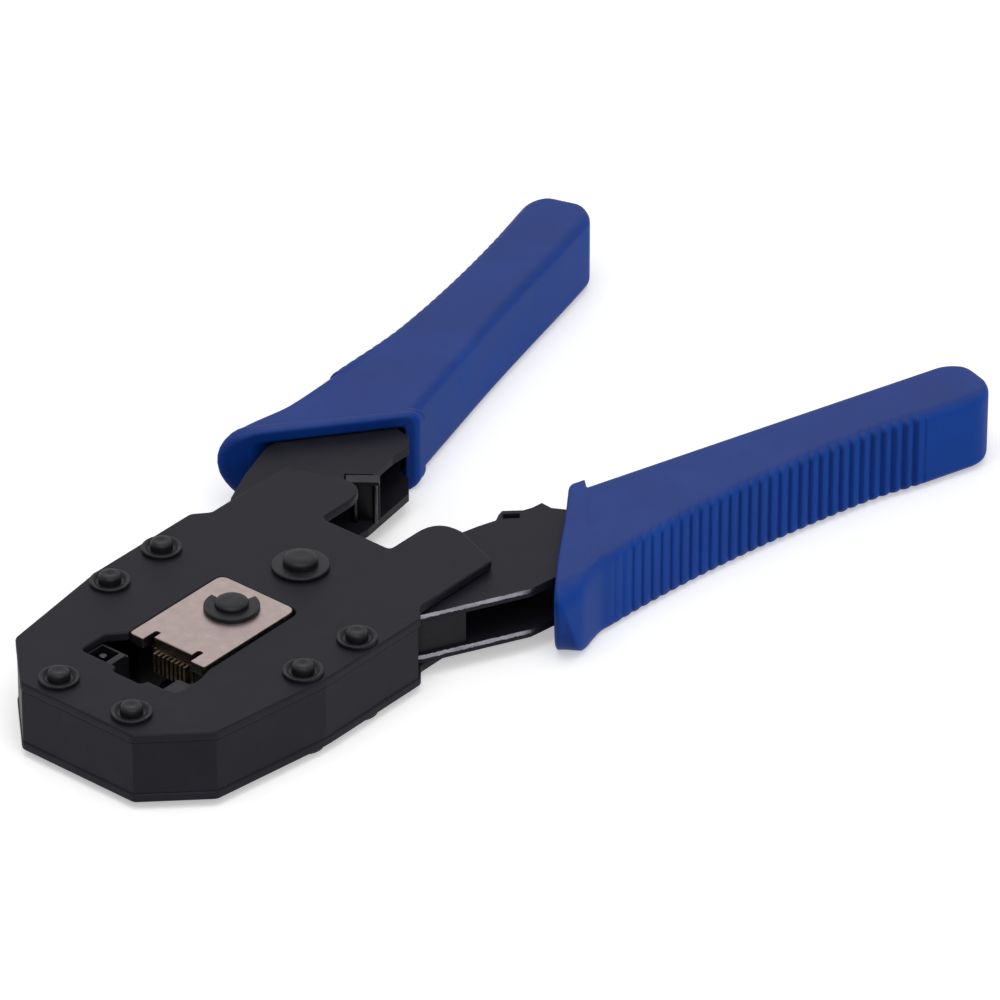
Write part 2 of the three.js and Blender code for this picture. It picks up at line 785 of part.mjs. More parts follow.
// The moving arm in plan, from the hub to its end inside the grip.
function movingArmOutline() {
  return outline([
    ...movingOuter,
    handlePoint(MOVING, 19.9, 39),
    ...tangPoints(0).map(([u, v]) => handlePoint(MOVING, u, v)),
    handlePoint(MOVING, TANG_INNER_U, 54),
    ...movingInner,
  ]);
}

// What is cut from hub, lobe and block alike: the bushing's bore, the cam slot and two dowel holes.
function movingCuts() {
  return [
    through(0, 0, BUSH_R + RUN_GAP),
    camBand(PIN_R + RUN_GAP, 0, zTop),
    through(...DOWEL_FRONT, DOWEL_R + PRESS_GAP),
    through(...DOWEL_REAR, DOWEL_R + PRESS_GAP),
  ];
}

// A channel that is open outwards. Its flanges carry the hub and the cam lobe.
function movingArm() {
  const low = zArmLow + FLANGE_T;
  const high = zArmHigh - FLANGE_T;
  const open = slab(movingArmOutline(), low, high);
  const solid = slab(movingArmOutline(), zArmLow, zArmHigh).add(hubAndLobe(0, zArmLow, zArmHigh));
  return cut(solid, [
    open.translate([WEB_T, 0, 0]),
    hubAndLobe(FIT, low, high),
    slab(outline(pocketCorners), zArmHigh - STRIP_POCKET_DEPTH, zTop),
    ...movingCuts(),
  ]);
}

// The sector of the block that stays open for the spring's leg while the handle turns.
function legWindow(low, high) {
  const from = THREE.MathUtils.degToRad(93);
  const to = THREE.MathUtils.degToRad(166);
  const reach = 2 * HUB_R;
  return slab(
    outline([
      [0, 0],
      [reach * Math.cos(from), reach * Math.sin(from)],
      [reach * Math.cos((from + to) / 2), reach * Math.sin((from + to) / 2)],
      [reach * Math.cos(to), reach * Math.sin(to)],
    ]),
    low,
    high,
  );
}

// The block between the moving arm's flanges, with the spring's pocket round the bushing.
function camBlock() {
  const low = zArmLow + FLANGE_T;
  const high = zArmHigh - FLANGE_T;
  const floor = low + SPRING_POCKET_FLOOR;
  const body = outline([
    [0, -8],
    [16, -4 + SPACER_RECESS],
    [22.6 - SPACER_RECESS, RIGHT_WALL_END_Y + 1.1],
    [25.2 - SPACER_RECESS, 4.5 + SPACER_RECESS],
    [29 - SPACER_RECESS, 12.8],
    [13.6, 20],
    [8.6 + WEB_T + RUN_GAP, 14],
    [WEB_T + RUN_GAP, 8],
  ]);
  const hook = SPRING_WIRE_R + RUN_GAP + 0.1;
  return cut(slab(body, low, high).add(hubAndLobe(0, low, high)), [
    slab(disc(0, 0, SPRING_POCKET_R), floor, high + 1),
    legWindow(floor, high + 1),
    slab(
      rectangle(SPringR - hook, -SPRING_HOOK - hook, SPringR + hook, 0),
      floor,
      high + 1,
    ),
    ...movingCuts(),
  ]);
}

// The return spring: a helix round the bushing that leaves along its tangent at both ends. The lower
// end hooks into the cam block and the upper one bears on the fixed arm's spacer.
function returnSpring() {
  const baseZ = zArmLow + FLANGE_T + SPRING_POCKET_FLOOR + SPRING_WIRE_R + SPRING_GAP;
  const legAngle = Math.atan2(SPRING_LEG_END[1], SPRING_LEG_END[0]);
  const leaving = Math.acos(SPringR / Math.hypot(...SPRING_LEG_END));
  const sweep = 2 * Math.PI * SPRING_TURNS + legAngle - leaving;
  const topZ = zArmHigh - FLANGE_T - SPRING_WIRE_R - SPRING_GAP;
  const path = new THREE.CurvePath();
  path.add(
    new THREE.LineCurve3(
      new THREE.Vector3(SPringR, -SPRING_HOOK, baseZ),
      new THREE.Vector3(SPringR, 0, baseZ),
    ),
  );
  class Coil extends THREE.Curve {
    getPoint(t) {
      const turn = sweep * t;
      const x = SPringR * Math.cos(turn);
      const y = SPringR * Math.sin(turn);
      return new THREE.Vector3(x, y, baseZ + (topZ - baseZ) * t);
    }
  }
  path.add(new Coil());
  path.add(
    new THREE.LineCurve3(
      new THREE.Vector3(SPringR * Math.cos(sweep), SPringR * Math.sin(sweep), topZ),
      new THREE.Vector3(...SPRING_LEG_END, topZ),
    ),
  );
  const corners = [];
  for (let i = 0; i < SPRING_SIDES; i++) {
    const turn = (2 * Math.PI * i) / SPRING_SIDES;
    corners.push([SPRING_WIRE_R * Math.cos(turn), SPRING_WIRE_R * Math.sin(turn)]);
  }
  const geometry = new THREE.ExtrudeGeometry(outline(corners), { steps: 64, extrudePath: path });
  return toSolid(geometry);
}

const [frontX, frontY] = DOWEL_FRONT;
const [rearX, rearY] = DOWEL_REAR;
addPiece("moving_arm", movingArm(), blackSteel);
addPiece("cam_block", camBlock(), blackedSteel);
addPiece("cam_dowel_front", slab(disc(frontX, frontY, DOWEL_R), zArmLow, zArmHigh), bladeSteel);
addPiece("cam_dowel_rear", slab(disc(rearX, rearY, DOWEL_R), zArmLow, zArmHigh), bladeSteel);
addPiece("return_spring", returnSpring(), springSteel);

// ---------------------------------------------------------------- grips

// The grip in plan: straight inner edge, round tip, swelling outer edge and slanted mouth.
function gripOutline(handle) {
  const corner = gripWidth(GRIP_TAPER_START_V - 2.5) + MOUTH_FLARE;
  const clearOfCorner = GRIP_TAPER_START_V + 8;
  const points = [
    [0, mouthV(0)],
    [corner, mouthV(corner)],
    ...outerEdge(0, clearOfCorner, taperEndV, 12),
    [GRIP_TIP_W, GRIP_END_V - GRIP_TIP_ROUND],
    [GRIP_TIP_W - 0.3 * GRIP_TIP_ROUND, GRIP_END_V - 0.3 * GRIP_TIP_ROUND],
    [GRIP_TIP_W - GRIP_TIP_ROUND, GRIP_END_V],
    [GRIP_TIP_ROUND, GRIP_END_V],
    [0.3 * GRIP_TIP_ROUND, GRIP_END_V - 0.3 * GRIP_TIP_ROUND],
    [0, GRIP_END_V - GRIP_TIP_ROUND],
  ];
  return outline(points.map(([u, v]) => handlePoint(handle, u, v)));
}

// The rim round the mouth: nearly square at its inner end, round at its outer end.
// It is drawn in the mouth's own plane, with s from the inner end to the outer end.
function gripLip(handle) {
  const [innerX, innerY] = handlePoint(handle, ...MOUTH_INNER);
  const [outerX, outerY] = handlePoint(handle, ...MOUTH_OUTER);
  const run = Math.hypot(outerX - innerX, outerY - innerY);
  const upper = [
    [0, gripT / 2 - LIP_INNER_ROUND],
    [LIP_INNER_ROUND * 0.3, gripT / 2 - LIP_INNER_ROUND * 0.3],
    [LIP_INNER_ROUND, gripT / 2],
  ];
  for (const degrees of [90, 60, 30, 0]) {
    const turn = THREE.MathUtils.degToRad(degrees);
    upper.push([
      run - LIP_OUTER_ROUND * (1 - Math.cos(turn)),
      gripT / 2 - LIP_OUTER_ROUND * (1 - Math.sin(turn)),
    ]);
  }
  const lower = upper.map(([s, z]) => [s, -z]).reverse();
  const rim = slab(outline([...upper, ...lower]), 0, LIP_T);
  const across = new THREE.Vector3(outerX - innerX, outerY - innerY, 0).normalize();
  const up = new THREE.Vector3(0, 0, -handle.side);
  const back = new THREE.Vector3().crossVectors(across, up);
  const place = new THREE.Matrix4().makeBasis(across, up, back);
  place.setPosition(innerX, innerY, zMid);
  return rim.transform(place.elements);
}

// The grip's hollow: a close fit round the arm, and a funnel behind the mouth.
function gripHollow(handle, armLow, armHigh) {
  const place = ([u, v]) => handlePoint(handle, u, v);
  const innerU = TANG_INNER_U - FIT;
  const frontOuterU = gripWidth(mouthV(MOUTH_OUTER[0])) - GRIP_WALL;
  const sleeve = outline(
    [
      [innerU, MOUTH_INNER[1] - 6],
      [frontOuterU, mouthV(frontOuterU) - 4],
      ...tangPoints(FIT),
    ].map(place),
  );
  const funnelInnerU = MOUTH_INNER[0] + LIP_T - 0.3;
  const funnel = outline(
    [
      [funnelInnerU, mouthV(funnelInnerU)],
      [funnelInnerU - 1, mouthV(funnelInnerU) - 2],
      [frontOuterU - 1, mouthV(frontOuterU) - 2],
      [frontOuterU, mouthV(frontOuterU)],
      [frontOuterU - 0.4, mouthV(frontOuterU) + MOUTH_DEPTH],
      [innerU, mouthV(innerU) + MOUTH_DEPTH],
    ].map(place),
  );
  return slab(sleeve, armLow - PRESS_GAP, armHigh + PRESS_GAP).add(
    slab(funnel, zMid - mouthHeight / 2, zMid + mouthHeight / 2),
  );
}

// Finger ribs: grooves of even pitch across the outer side.
function gripGrooves(handle) {
  const grooves = [];
  const half = RIB_PITCH / 2.6;
  const reach = gripT / 2 - GRIP_EDGE - 0.2;
  for (let v = RIB_START_V; v < ribEndV; v += RIB_PITCH) {
    const groove = outline([
      handlePoint(handle, gripWidth(v - half) + 0.3, v - half),
      handlePoint(handle, gripWidth(v) - RIB_DEPTH, v),
      handlePoint(handle, gripWidth(v + half) + 0.3, v + half),
    ]);
    grooves.push(slab(groove, zMid - reach, zMid + reach));
  }
  return grooves;
}

// A moulded grip for one handle, whose arm reaches from z = armLow to z = armHigh.
function grip(handle, armLow, armHigh) {
  const geometry = new THREE.ExtrudeGeometry(gripOutline(handle), {
    depth: gripT - 2 * GRIP_EDGE,
    bevelThickness: GRIP_EDGE,
    bevelSize: GRIP_EDGE,
    bevelOffset: -GRIP_EDGE,
    bevelSegments: 2,
  });
  geometry.translate(0, 0, zMid - gripT / 2 + GRIP_EDGE);
  return cut(toSolid(geometry).add(gripLip(handle)), [
    gripHollow(handle, armLow, armHigh),
    ...gripGrooves(handle),
  ]);
}

addPiece("fixed_grip", grip(FIXED, zCoreLow, zCoreHigh), bluePlastic);
addPiece("moving_grip", grip(MOVING, zArmLow, zArmHigh), bluePlastic);

// ---------------------------------------------------------------- ram

const cheekRearY = WINDOW_REAR_Y - CHEEK_REAR_GAP;
const zCheekHigh = zCoreHigh + CHEEK_GAP;
const zCheekLow = zCoreLow - CHEEK_GAP;
const zCombHigh = zCheekHigh - COMB_TOP_GAP;
const zCombLow = zCombHigh - COMB_H;
const zPusherHigh = zCombLow - PUSHER_GAP;
const zPusherLow = zPusherHigh - PUSHER_H;
const ramBlockRearY = PIN_Y - PIN_R - RUN_GAP - SLOT_WALL - RAM_BLOCK_GAP;

// A cheek plate, from its rounded rear corners to the two fingers beside the comb.
function cheekOutline() {
  const shape = new THREE.Shape();
  shape.moveTo(-RAM_X, cheekRearY - WINDOW_ROUND);
  shape.quadraticCurveTo(-RAM_X, cheekRearY, -RAM_X + WINDOW_ROUND, cheekRearY);
  shape.lineTo(RAM_X - WINDOW_ROUND, cheekRearY);
  shape.quadraticCurveTo(RAM_X, cheekRearY, RAM_X, cheekRearY - WINDOW_ROUND);
  shape.lineTo(RAM_X, FINGER_FRONT_Y + 0.8);
  shape.lineTo(RAM_X - 0.8, FINGER_FRONT_Y);
  shape.lineTo(FINGER_X, FINGER_FRONT_Y);
  shape.lineTo(FINGER_X, CHEEK_SLIT_Y);
  shape.lineTo(CHEEK_SLIT_X, CHEEK_SLIT_Y);
  shape.lineTo(CHEEK_SLIT_X, CHEEK_FRONT_Y);
  shape.lineTo(-CHEEK_SLIT_X, CHEEK_FRONT_Y);
  shape.lineTo(-CHEEK_SLIT_X, CHEEK_SLIT_Y);
  shape.lineTo(-FINGER_X, CHEEK_SLIT_Y);
  shape.lineTo(-FINGER_X, FINGER_FRONT_Y);
  shape.lineTo(-RAM_X + 0.8, FINGER_FRONT_Y);
  shape.lineTo(-RAM_X, FINGER_FRONT_Y + 0.8);
  return shape;
}

const ramDowelY = (ramBlockRearY + CHEEK_FRONT_Y + COMB_DEPTH) / 2;
const ramDowelLow = zCheekLow - RAM_DOWEL_DEPTH;
const ramDowelHigh = zCheekHigh + RAM_DOWEL_DEPTH;

// Blind holes for the two dowels that join cheeks and block.
function ramDowelHoles() {
  return [-1, 1].map((side) =>
    slab(
      disc(side * RAM_DOWEL_X, ramDowelY, RAM_DOWEL_R + PRESS_GAP),
      ramDowelLow - PRESS_GAP,
      ramDowelHigh + PRESS_GAP,
    ),
  );
}

function cheek(low, high) {
  return cut(slab(cheekOutline(), low, high), [
    through(0, PIN_Y, PIN_R + PRESS_GAP),
    ...ramDowelHoles(),
  ]);
}

// The block between the cheeks, with seats for the comb and the pusher in its front.
function ramBlock() {
  const seatY = CHEEK_FRONT_Y + COMB_DEPTH;
  return cut(
    slab(
      rectangle(-RAM_BLOCK_X, CHEEK_FRONT_Y, RAM_BLOCK_X, ramBlockRearY),
      zCheekLow,
      zCheekHigh,
    ),
    [
      slab(rectangle(-COMB_X, CHEEK_FRONT_Y - 1, COMB_X, seatY), zCombLow, zTop),
      slab(
        rectangle(-PUSHER_X, CHEEK_FRONT_Y - 1, PUSHER_X, seatY),
        zPusherLow,
        zPusherHigh,
      ),
      ...ramDowelHoles(),
    ],
  );
}

// Eight thin teeth, one for each contact of the plug, on one bar.
function contactComb() {
  const seatY = CHEEK_FRONT_Y + COMB_DEPTH;
  const bar = slab(
    rectangle(-COMB_X + PRESS_GAP, CHEEK_FRONT_Y, COMB_X - PRESS_GAP, seatY),
    zCombLow,
    zCombHigh,
  );
  const teeth = [];
  for (let i = 0; i < CONTACTS; i++) {
    const x = (i - (CONTACTS - 1) / 2) * CONTACT_PITCH;
    const half = CONTACT_T / 2;
    teeth.push(
      slab(
        rectangle(x - half, TOOTH_TIP_Y, x + half, CHEEK_FRONT_Y + 0.5),
        zCombLow + 2 * TOOTH_INSET,
        zCombHigh - TOOTH_INSET,
      ),
    );
  }
  return joined([bar, ...teeth]);
}

// A blunt wedge that folds the plug's strain relief over the cable.
function strainReliefPusher() {
  const half = PUSHER_X - PRESS_GAP;
  return slab(
    outline([
      [-half, CHEEK_FRONT_Y + COMB_DEPTH],
      [-half, CHEEK_FRONT_Y],
      [-half + 0.6, PUSHER_TIP_Y],
      [half - 0.6, PUSHER_TIP_Y],
      [half, CHEEK_FRONT_Y],
      [half, CHEEK_FRONT_Y + COMB_DEPTH],
    ]),
    zPusherLow,
    zPusherHigh,
  );
}

const ringHighZ = zCheekHigh + CHEEK_T;
const ringLowZ = zCheekLow - CHEEK_T - RING_T;

// The ram's pin: flat below, and a low domed head above the upper retaining ring.
function ramPin() {
  const headZ = ringHighZ + RING_T;
  return turned(0, PIN_Y, [
    [0, ringLowZ],
    [PIN_R, ringLowZ],
    [PIN_R, headZ],
    [pinHeadR, headZ],
    [pinHeadR, headZ + PIN_HEAD_T / 2],
    [pinHeadR - 0.7, headZ + PIN_HEAD_T - 0.1],
    [0, headZ + PIN_HEAD_T],
  ]);
}

// A retaining ring that is open on one side, over RING_OPENING_ANGLE.
function retainingRing(low) {
  const whole = ring(0, PIN_Y, ringR, PIN_R + PRESS_GAP, low, low + RING_T);
  const opening = [[0, PIN_Y]];
  for (const share of [-0.5, 0, 0.5]) {
    const turn = RING_OPENING_TURN + share * RING_OPENING_ANGLE;
    opening.push([2 * ringR * Math.cos(turn), PIN_Y + 2 * ringR * Math.sin(turn)]);
  }
  return cut(whole, [slab(outline(opening), low - 1, low + RING_T + 1)]);
}

addPiece("ram_top_plate", cheek(zCheekHigh, zCheekHigh + CHEEK_T), nickel);
addPiece("ram_bottom_plate", cheek(zCheekLow - CHEEK_T, zCheekLow), nickel);
addPiece("ram_block", ramBlock(), nickel);
addPiece("contact_comb", contactComb(), brass);
addPiece("strain_relief_pusher", strainReliefPusher(), bladeSteel);
for (const [name, side] of [["left", -1], ["right", 1]]) {
  const dowel = disc(side * RAM_DOWEL_X, ramDowelY, RAM_DOWEL_R);
  addPiece(`ram_dowel_${name}`, slab(dowel, ramDowelLow, ramDowelHigh), bladeSteel);
}
addPiece("ram_pin", ramPin(), blackedSteel);
addPiece("ram_ring_top", retainingRing(ringHighZ), blackedSteel);
addPiece("ram_ring_bottom", retainingRing(ringLowZ), blackedSteel);

export default tool;
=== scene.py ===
"""Crimping tool for eight-contact modular plugs, lying flat with its handles open.

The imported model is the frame. Flat pieces keep their CAD shape and get rounded arrises, or are
made again as plates with finer outlines; turned pieces, grips and spring are surfaces worked out
from their formulas. Lengths are in millimetres until a mesh is written, which is in metres.
"""
import json
import bpy
import numpy as np
from mathutils import Matrix, Vector
from mathutils.geometry import tessellate_polygon


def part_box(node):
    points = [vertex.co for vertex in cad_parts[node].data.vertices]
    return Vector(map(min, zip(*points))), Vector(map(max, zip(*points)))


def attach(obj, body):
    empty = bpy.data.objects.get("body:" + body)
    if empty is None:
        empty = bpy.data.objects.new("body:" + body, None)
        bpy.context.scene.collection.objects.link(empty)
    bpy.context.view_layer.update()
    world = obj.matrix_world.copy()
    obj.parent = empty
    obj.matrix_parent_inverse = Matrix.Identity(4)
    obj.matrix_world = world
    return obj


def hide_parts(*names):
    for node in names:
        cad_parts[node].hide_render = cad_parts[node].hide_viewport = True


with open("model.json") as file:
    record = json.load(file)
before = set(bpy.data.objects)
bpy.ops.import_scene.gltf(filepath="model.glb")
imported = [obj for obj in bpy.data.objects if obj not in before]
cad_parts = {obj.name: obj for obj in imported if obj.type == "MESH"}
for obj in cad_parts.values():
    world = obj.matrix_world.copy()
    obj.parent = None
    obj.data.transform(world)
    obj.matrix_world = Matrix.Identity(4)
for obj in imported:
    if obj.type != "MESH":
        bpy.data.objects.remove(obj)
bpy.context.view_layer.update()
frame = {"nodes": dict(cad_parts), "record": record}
MM = 0.001

BODY_OF = {
    node: body
    for body, nodes in frame["record"]["behaviour"]["bodies"].items()
    for node in nodes
}


# ---------------------------------------------------------------- camera, floor and light

AZIMUTH = np.radians(39.92)
ELEVATION = np.radians(32.03)
DISTANCE = 1600.0
FOCAL_LENGTH = 316.8
PIVOT_TOP = np.array([0.0, 0.0, 16.0])
AIM_RIGHT = -36.25
AIM_UP = -12.31
FLOOR_REACH = 3000.0
SURROUND_LIGHT = 0.38  # strength of the world's light, and of the floor's own glow
WHITE = (1.0, 1.0, 1.0, 1.0)
LAMP_TARGET = Vector((0.02, 0.04, 0.0))  # metres, between the head and the grips
SOFTBOXES = [  # name, compass angle, height in degrees, distance and size in metres, watts
    ("back_softbox", 219.92, 42.0, 1.1, 1.0, 0.8),
    ("top_softbox", 30.0, 72.0, 1.2, 0.9, 6.7),
    ("right_softbox", 54.0, 30.0, 1.2, 0.8, 3.2),
]

look = np.array([
    -np.sin(AZIMUTH) * np.cos(ELEVATION),
    np.cos(AZIMUTH) * np.cos(ELEVATION),
    -np.sin(ELEVATION),
])
right_way = np.array([np.cos(AZIMUTH), np.sin(AZIMUTH), 0.0])
up_way = np.cross(right_way, look)


def place_camera():
    """The camera stands DISTANCE back from the hinge's top and looks past it along the view line,
    moved right and up by the aim's two offsets."""
    camera = bpy.data.cameras.new("camera")
    camera.lens = FOCAL_LENGTH
    camera.sensor_width = 36.0
    camera.clip_start = 0.05
    camera.clip_end = 20.0
    stand = bpy.data.objects.new("camera", camera)
    bpy.context.scene.collection.objects.link(stand)
    spot = PIVOT_TOP - AIM_RIGHT * right_way - AIM_UP * up_way - DISTANCE * look
    axes = Matrix(np.column_stack([right_way, up_way, -look]).tolist()).to_4x4()
    stand.matrix_world = Matrix.Translation(Vector((spot * MM).tolist())) @ axes
    bpy.context.scene.camera = stand


def softbox(name, azimuth, elevation, away, size, watts):
    """A square area light at a compass angle and height round its target, turned towards it."""
    lamp = bpy.data.lights.new(name, "AREA")
    lamp.shape = "SQUARE"
    lamp.size = size
    lamp.energy = watts
    turn = np.radians(azimuth)
    rise = np.radians(elevation)
    way = Vector((
        float(np.sin(turn) * np.cos(rise)),
        float(-np.cos(turn) * np.cos(rise)),
        float(np.sin(rise)),
    ))
    stand = bpy.data.objects.new(name, lamp)
    stand.location = way * away + LAMP_TARGET
    stand.rotation_euler = way.to_track_quat("Z", "Y").to_euler()
    bpy.context.scene.collection.objects.link(stand)


# ---------------------------------------------------------------- colour and nodes

def linear(hex_colour):
    """Linear RGBA of an sRGB hex value: c / 12.92 below 0.04045, else ((c + 0.055) / 1.055)^2.4."""
    shown = np.array([int(hex_colour[i : i + 2], 16) for i in (1, 3, 5)]) / 255
    light = np.where(shown <= 0.04045, shown / 12.92, ((shown + 0.055) / 1.055) ** 2.4)
    return (*light.tolist(), 1.0)


def add_node(tree, kind, inputs=None, **settings):
    """Adds a node of a kind with its settings; each input is a value or another node's output."""
    made = tree.nodes.new(kind)
    for key, value in settings.items():
        setattr(made, key, value)
    for key, value in (inputs or {}).items():
        if isinstance(value, bpy.types.NodeSocket):
            tree.links.new(value, made.inputs[key])
        else:
            made.inputs[key].default_value = value
    return made


def blank_material(name):
    """A material with an output and nothing else."""
    made = bpy.data.materials.new(name)
    made.use_nodes = True
    made.node_tree.nodes.clear()
    output = add_node(made.node_tree, "ShaderNodeOutputMaterial")
    return made, made.node_tree, output


def calculate(tree, operation, *values):
    """One number worked out from two or three, each a value or another node's output."""
    return add_node(
        tree, "ShaderNodeMath", dict(enumerate(values)), operation=operation
    ).outputs[0]


def ranged(tree, amount, low, high, to_low=0.0, to_high=1.0):
    """Maps low to high onto to_low to to_high and holds what lies outside."""
    return add_node(
        tree,
        "ShaderNodeMapRange",
        {"Value": amount, "From Min": low, "From Max": high, "To Min": to_low, "To Max": to_high},
    ).outputs["Result"]


def grain(tree, place, size_mm, detail=3.0, roughness=0.55, stretch=(1.0, 1.0, 1.0)):
    """Noise whose lumps are about size_mm across, on object coordinates in metres."""
    across = add_node(tree, "ShaderNodeMapping", {"Vector": place, "Scale": stretch})
    return add_node(
        tree,
        "ShaderNodeTexNoise",
        {
            "Vector": across.outputs["Vector"],
            "Scale": 1.0 / (size_mm * MM),
            "Detail": detail,
            "Roughness": roughness,
        },
    ).outputs["Fac"]


def tones(tree, amount, stops):
    """A colour ramp through (position, sRGB hex) stops."""
    ramp = add_node(tree, "ShaderNodeValToRGB", {"Fac": amount})
    elements = ramp.color_ramp.elements
    while len(elements) < len(stops):
        elements.new(0.5)
    for element, (position, colour) in zip(elements, stops):
        element.position = position
        element.color = linear(colour)
    return ramp.outputs["Color"]


def spread(tree, amount, low, high):
    """Maps the middle of a noise, 0.3 to 0.7, to low to high."""
    return ranged(tree, amount, 0.3, 0.7, low, high)


def relief(tree, height, depth_mm, strength, under=None):
    """A bump of that depth, over another bump where one is given."""
    inputs = {"Height": height, "Distance": depth_mm * MM, "Strength": strength}
    if under is not None:
        inputs["Normal"] = under
    return add_node(tree, "ShaderNodeBump", inputs).outputs["Normal"]


def facing(tree, axis):
    """One part of the surface's own direction: for Z, 1 on a flat top and 0 on a wall."""
    way = add_node(tree, "ShaderNodeTexCoord").outputs["Normal"]
    return add_node(tree, "ShaderNodeSeparateXYZ", {"Vector": way}).outputs[axis]


def colour_mix(tree, share, first, second):
    """The second colour over the first by a share."""
    return add_node(
        tree, "ShaderNodeMix", {0: share, 6: first, 7: second}, data_type="RGBA"
    ).outputs[2]


def shader_mix(tree, share, first, second):
    """The second shader over the first by a share."""
    return add_node(
        tree, "ShaderNodeMixShader", {0: share, 1: first, 2: second}
    ).outputs["Shader"]


def principled(tree, inputs):
    """The surface shader with those inputs."""
    return add_node(tree, "ShaderNodeBsdfPrincipled", inputs).outputs["BSDF"]


# ---------------------------------------------------------------- materials

def black_enamel(name, bare_and_highlit_bands=None):
    """Stoved black enamel over stamped steel: near black with a blue-grey cast, satin, with the
    slight orange peel of a sprayed coat about 1.2 mm across. Where heights (low, high) in mm are
    given, the cut edges between them are bare steel, rubbed bright and lightened further as a
    painted highlight for the light their rounded top arrises catch."""
    made, tree, output = blank_material(name)
    place = add_node(tree, "ShaderNodeTexCoord").outputs["Object"]
    cloud = grain(tree, place, 9.0, 4.0)
    peel = grain(tree, place, 1.2, 2.0)
    dust = grain(tree, place, 0.35, 2.0)
    paint = tones(tree, cloud, [(0.30, "#15151c"), (0.55, "#191920"), (0.75, "#1f1f27")])
    rough = spread(tree, cloud, 0.42, 0.52)
    bump = relief(tree, dust, 0.008, 0.4, under=relief(tree, peel, 0.03, 0.35))
    shader = principled(
        tree,
        {"Base Color": paint, "Roughness": rough, "Specular IOR Level": 0.11, "Normal": bump},
    )
    if bare_and_highlit_bands:
        shader = bare_edges_and_painted_highlight(tree, place, shader, bare_and_highlit_bands)
    tree.links.new(shader, output.inputs["Surface"])
    return made


def bare_edges_and_painted_highlight(tree, place, enamel, bands):
    """Mixes bare steel into the enamel on upright faces, inside each height band (low, high) with a
    border ragged by 0.12 mm, beyond x = 14 mm, up to y = 22 mm and fading out by y = 25 mm. Its
    brightness is partly the bare cut edge and partly a painted highlight on the flanges' top
    arrises."""
    at = add_node(tree, "ShaderNodeSeparateXYZ", {"Vector": place}).outputs
    ragged = spread(tree, grain(tree, place, 0.9, 3.0), -0.12 * MM, 0.12 * MM)
    height = calculate(tree, "ADD", at["Z"], ragged)
    inside = [
        calculate(tree, "COMPARE", height, (low + high) / 2 * MM, (high - low) / 2 * MM)
        for low, high in bands
    ]
    share = inside[0]
    for band in inside[1:]:
        share = calculate(tree, "MAXIMUM", share, band)
    wall = calculate(tree, "LESS_THAN", facing(tree, "Z"), 0.93)
    fade = ranged(tree, at["Y"], 25 * MM, 22 * MM)
    outer = calculate(tree, "GREATER_THAN", at["X"], 14 * MM)
    for limit in (wall, fade, outer):
        share = calculate(tree, "MULTIPLY", share, limit)
    drawn = grain(tree, place, 0.5, 3.0, stretch=(0.2, 0.2, 1.0))
    # Bright steel: bare cut edge and painted highlight together.
    steel = principled(
        tree,
        {
            "Base Color": tones(tree, drawn, [(0.3, "#77777f"), (0.7, "#9c9ca6")]),
            "Metallic": 1.0,
            "Roughness": spread(tree, drawn, 0.34, 0.5),
            "Normal": relief(tree, drawn, 0.02, 0.4),
        },
    )
    return shader_mix(tree, share, enamel, steel)


def worked_metal(name, stops, rough, metallic, size_mm, stretch=(1.0, 1.0, 1.0), depth_mm=0.01,
                 gloss=0.5, edges=None):
    """A metal surface: tones between the stops in patches of six grains, fine marks of size_mm,
    stretched along one axis where the metal was drawn or brushed. Where edges gives stops too,
    walls and undersides take those: a painted shade, darker than the faces that look up."""
    made, tree, output = blank_material(name)
    place = add_node(tree, "ShaderNodeTexCoord").outputs["Object"]
    patch = grain(tree, place, size_mm * 6, 3.0)
    marks = grain(tree, place, size_mm, 3.0, 0.6, stretch)
    both = add_node(
        tree,
        "ShaderNodeMix",
        {0: 0.45, 2: patch, 3: marks},
        data_type="FLOAT",
    ).outputs[0]
    colour = tones(tree, both, stops)
    if edges:
        # Painted shade: walls and undersides darker than flat tops.
        flat = ranged(tree, facing(tree, "Z"), 0.6, 0.85)
        colour = colour_mix(tree, flat, tones(tree, both, edges), colour)
    shader = principled(
        tree,
        {
            "Base Color": colour,
            "Metallic": metallic,
            "Roughness": spread(tree, marks, *rough),
            "Specular IOR Level": gloss,
            "Normal": relief(tree, marks, depth_mm, 0.5),
        },
    )
    tree.links.new(shader, output.inputs["Surface"])
    return made


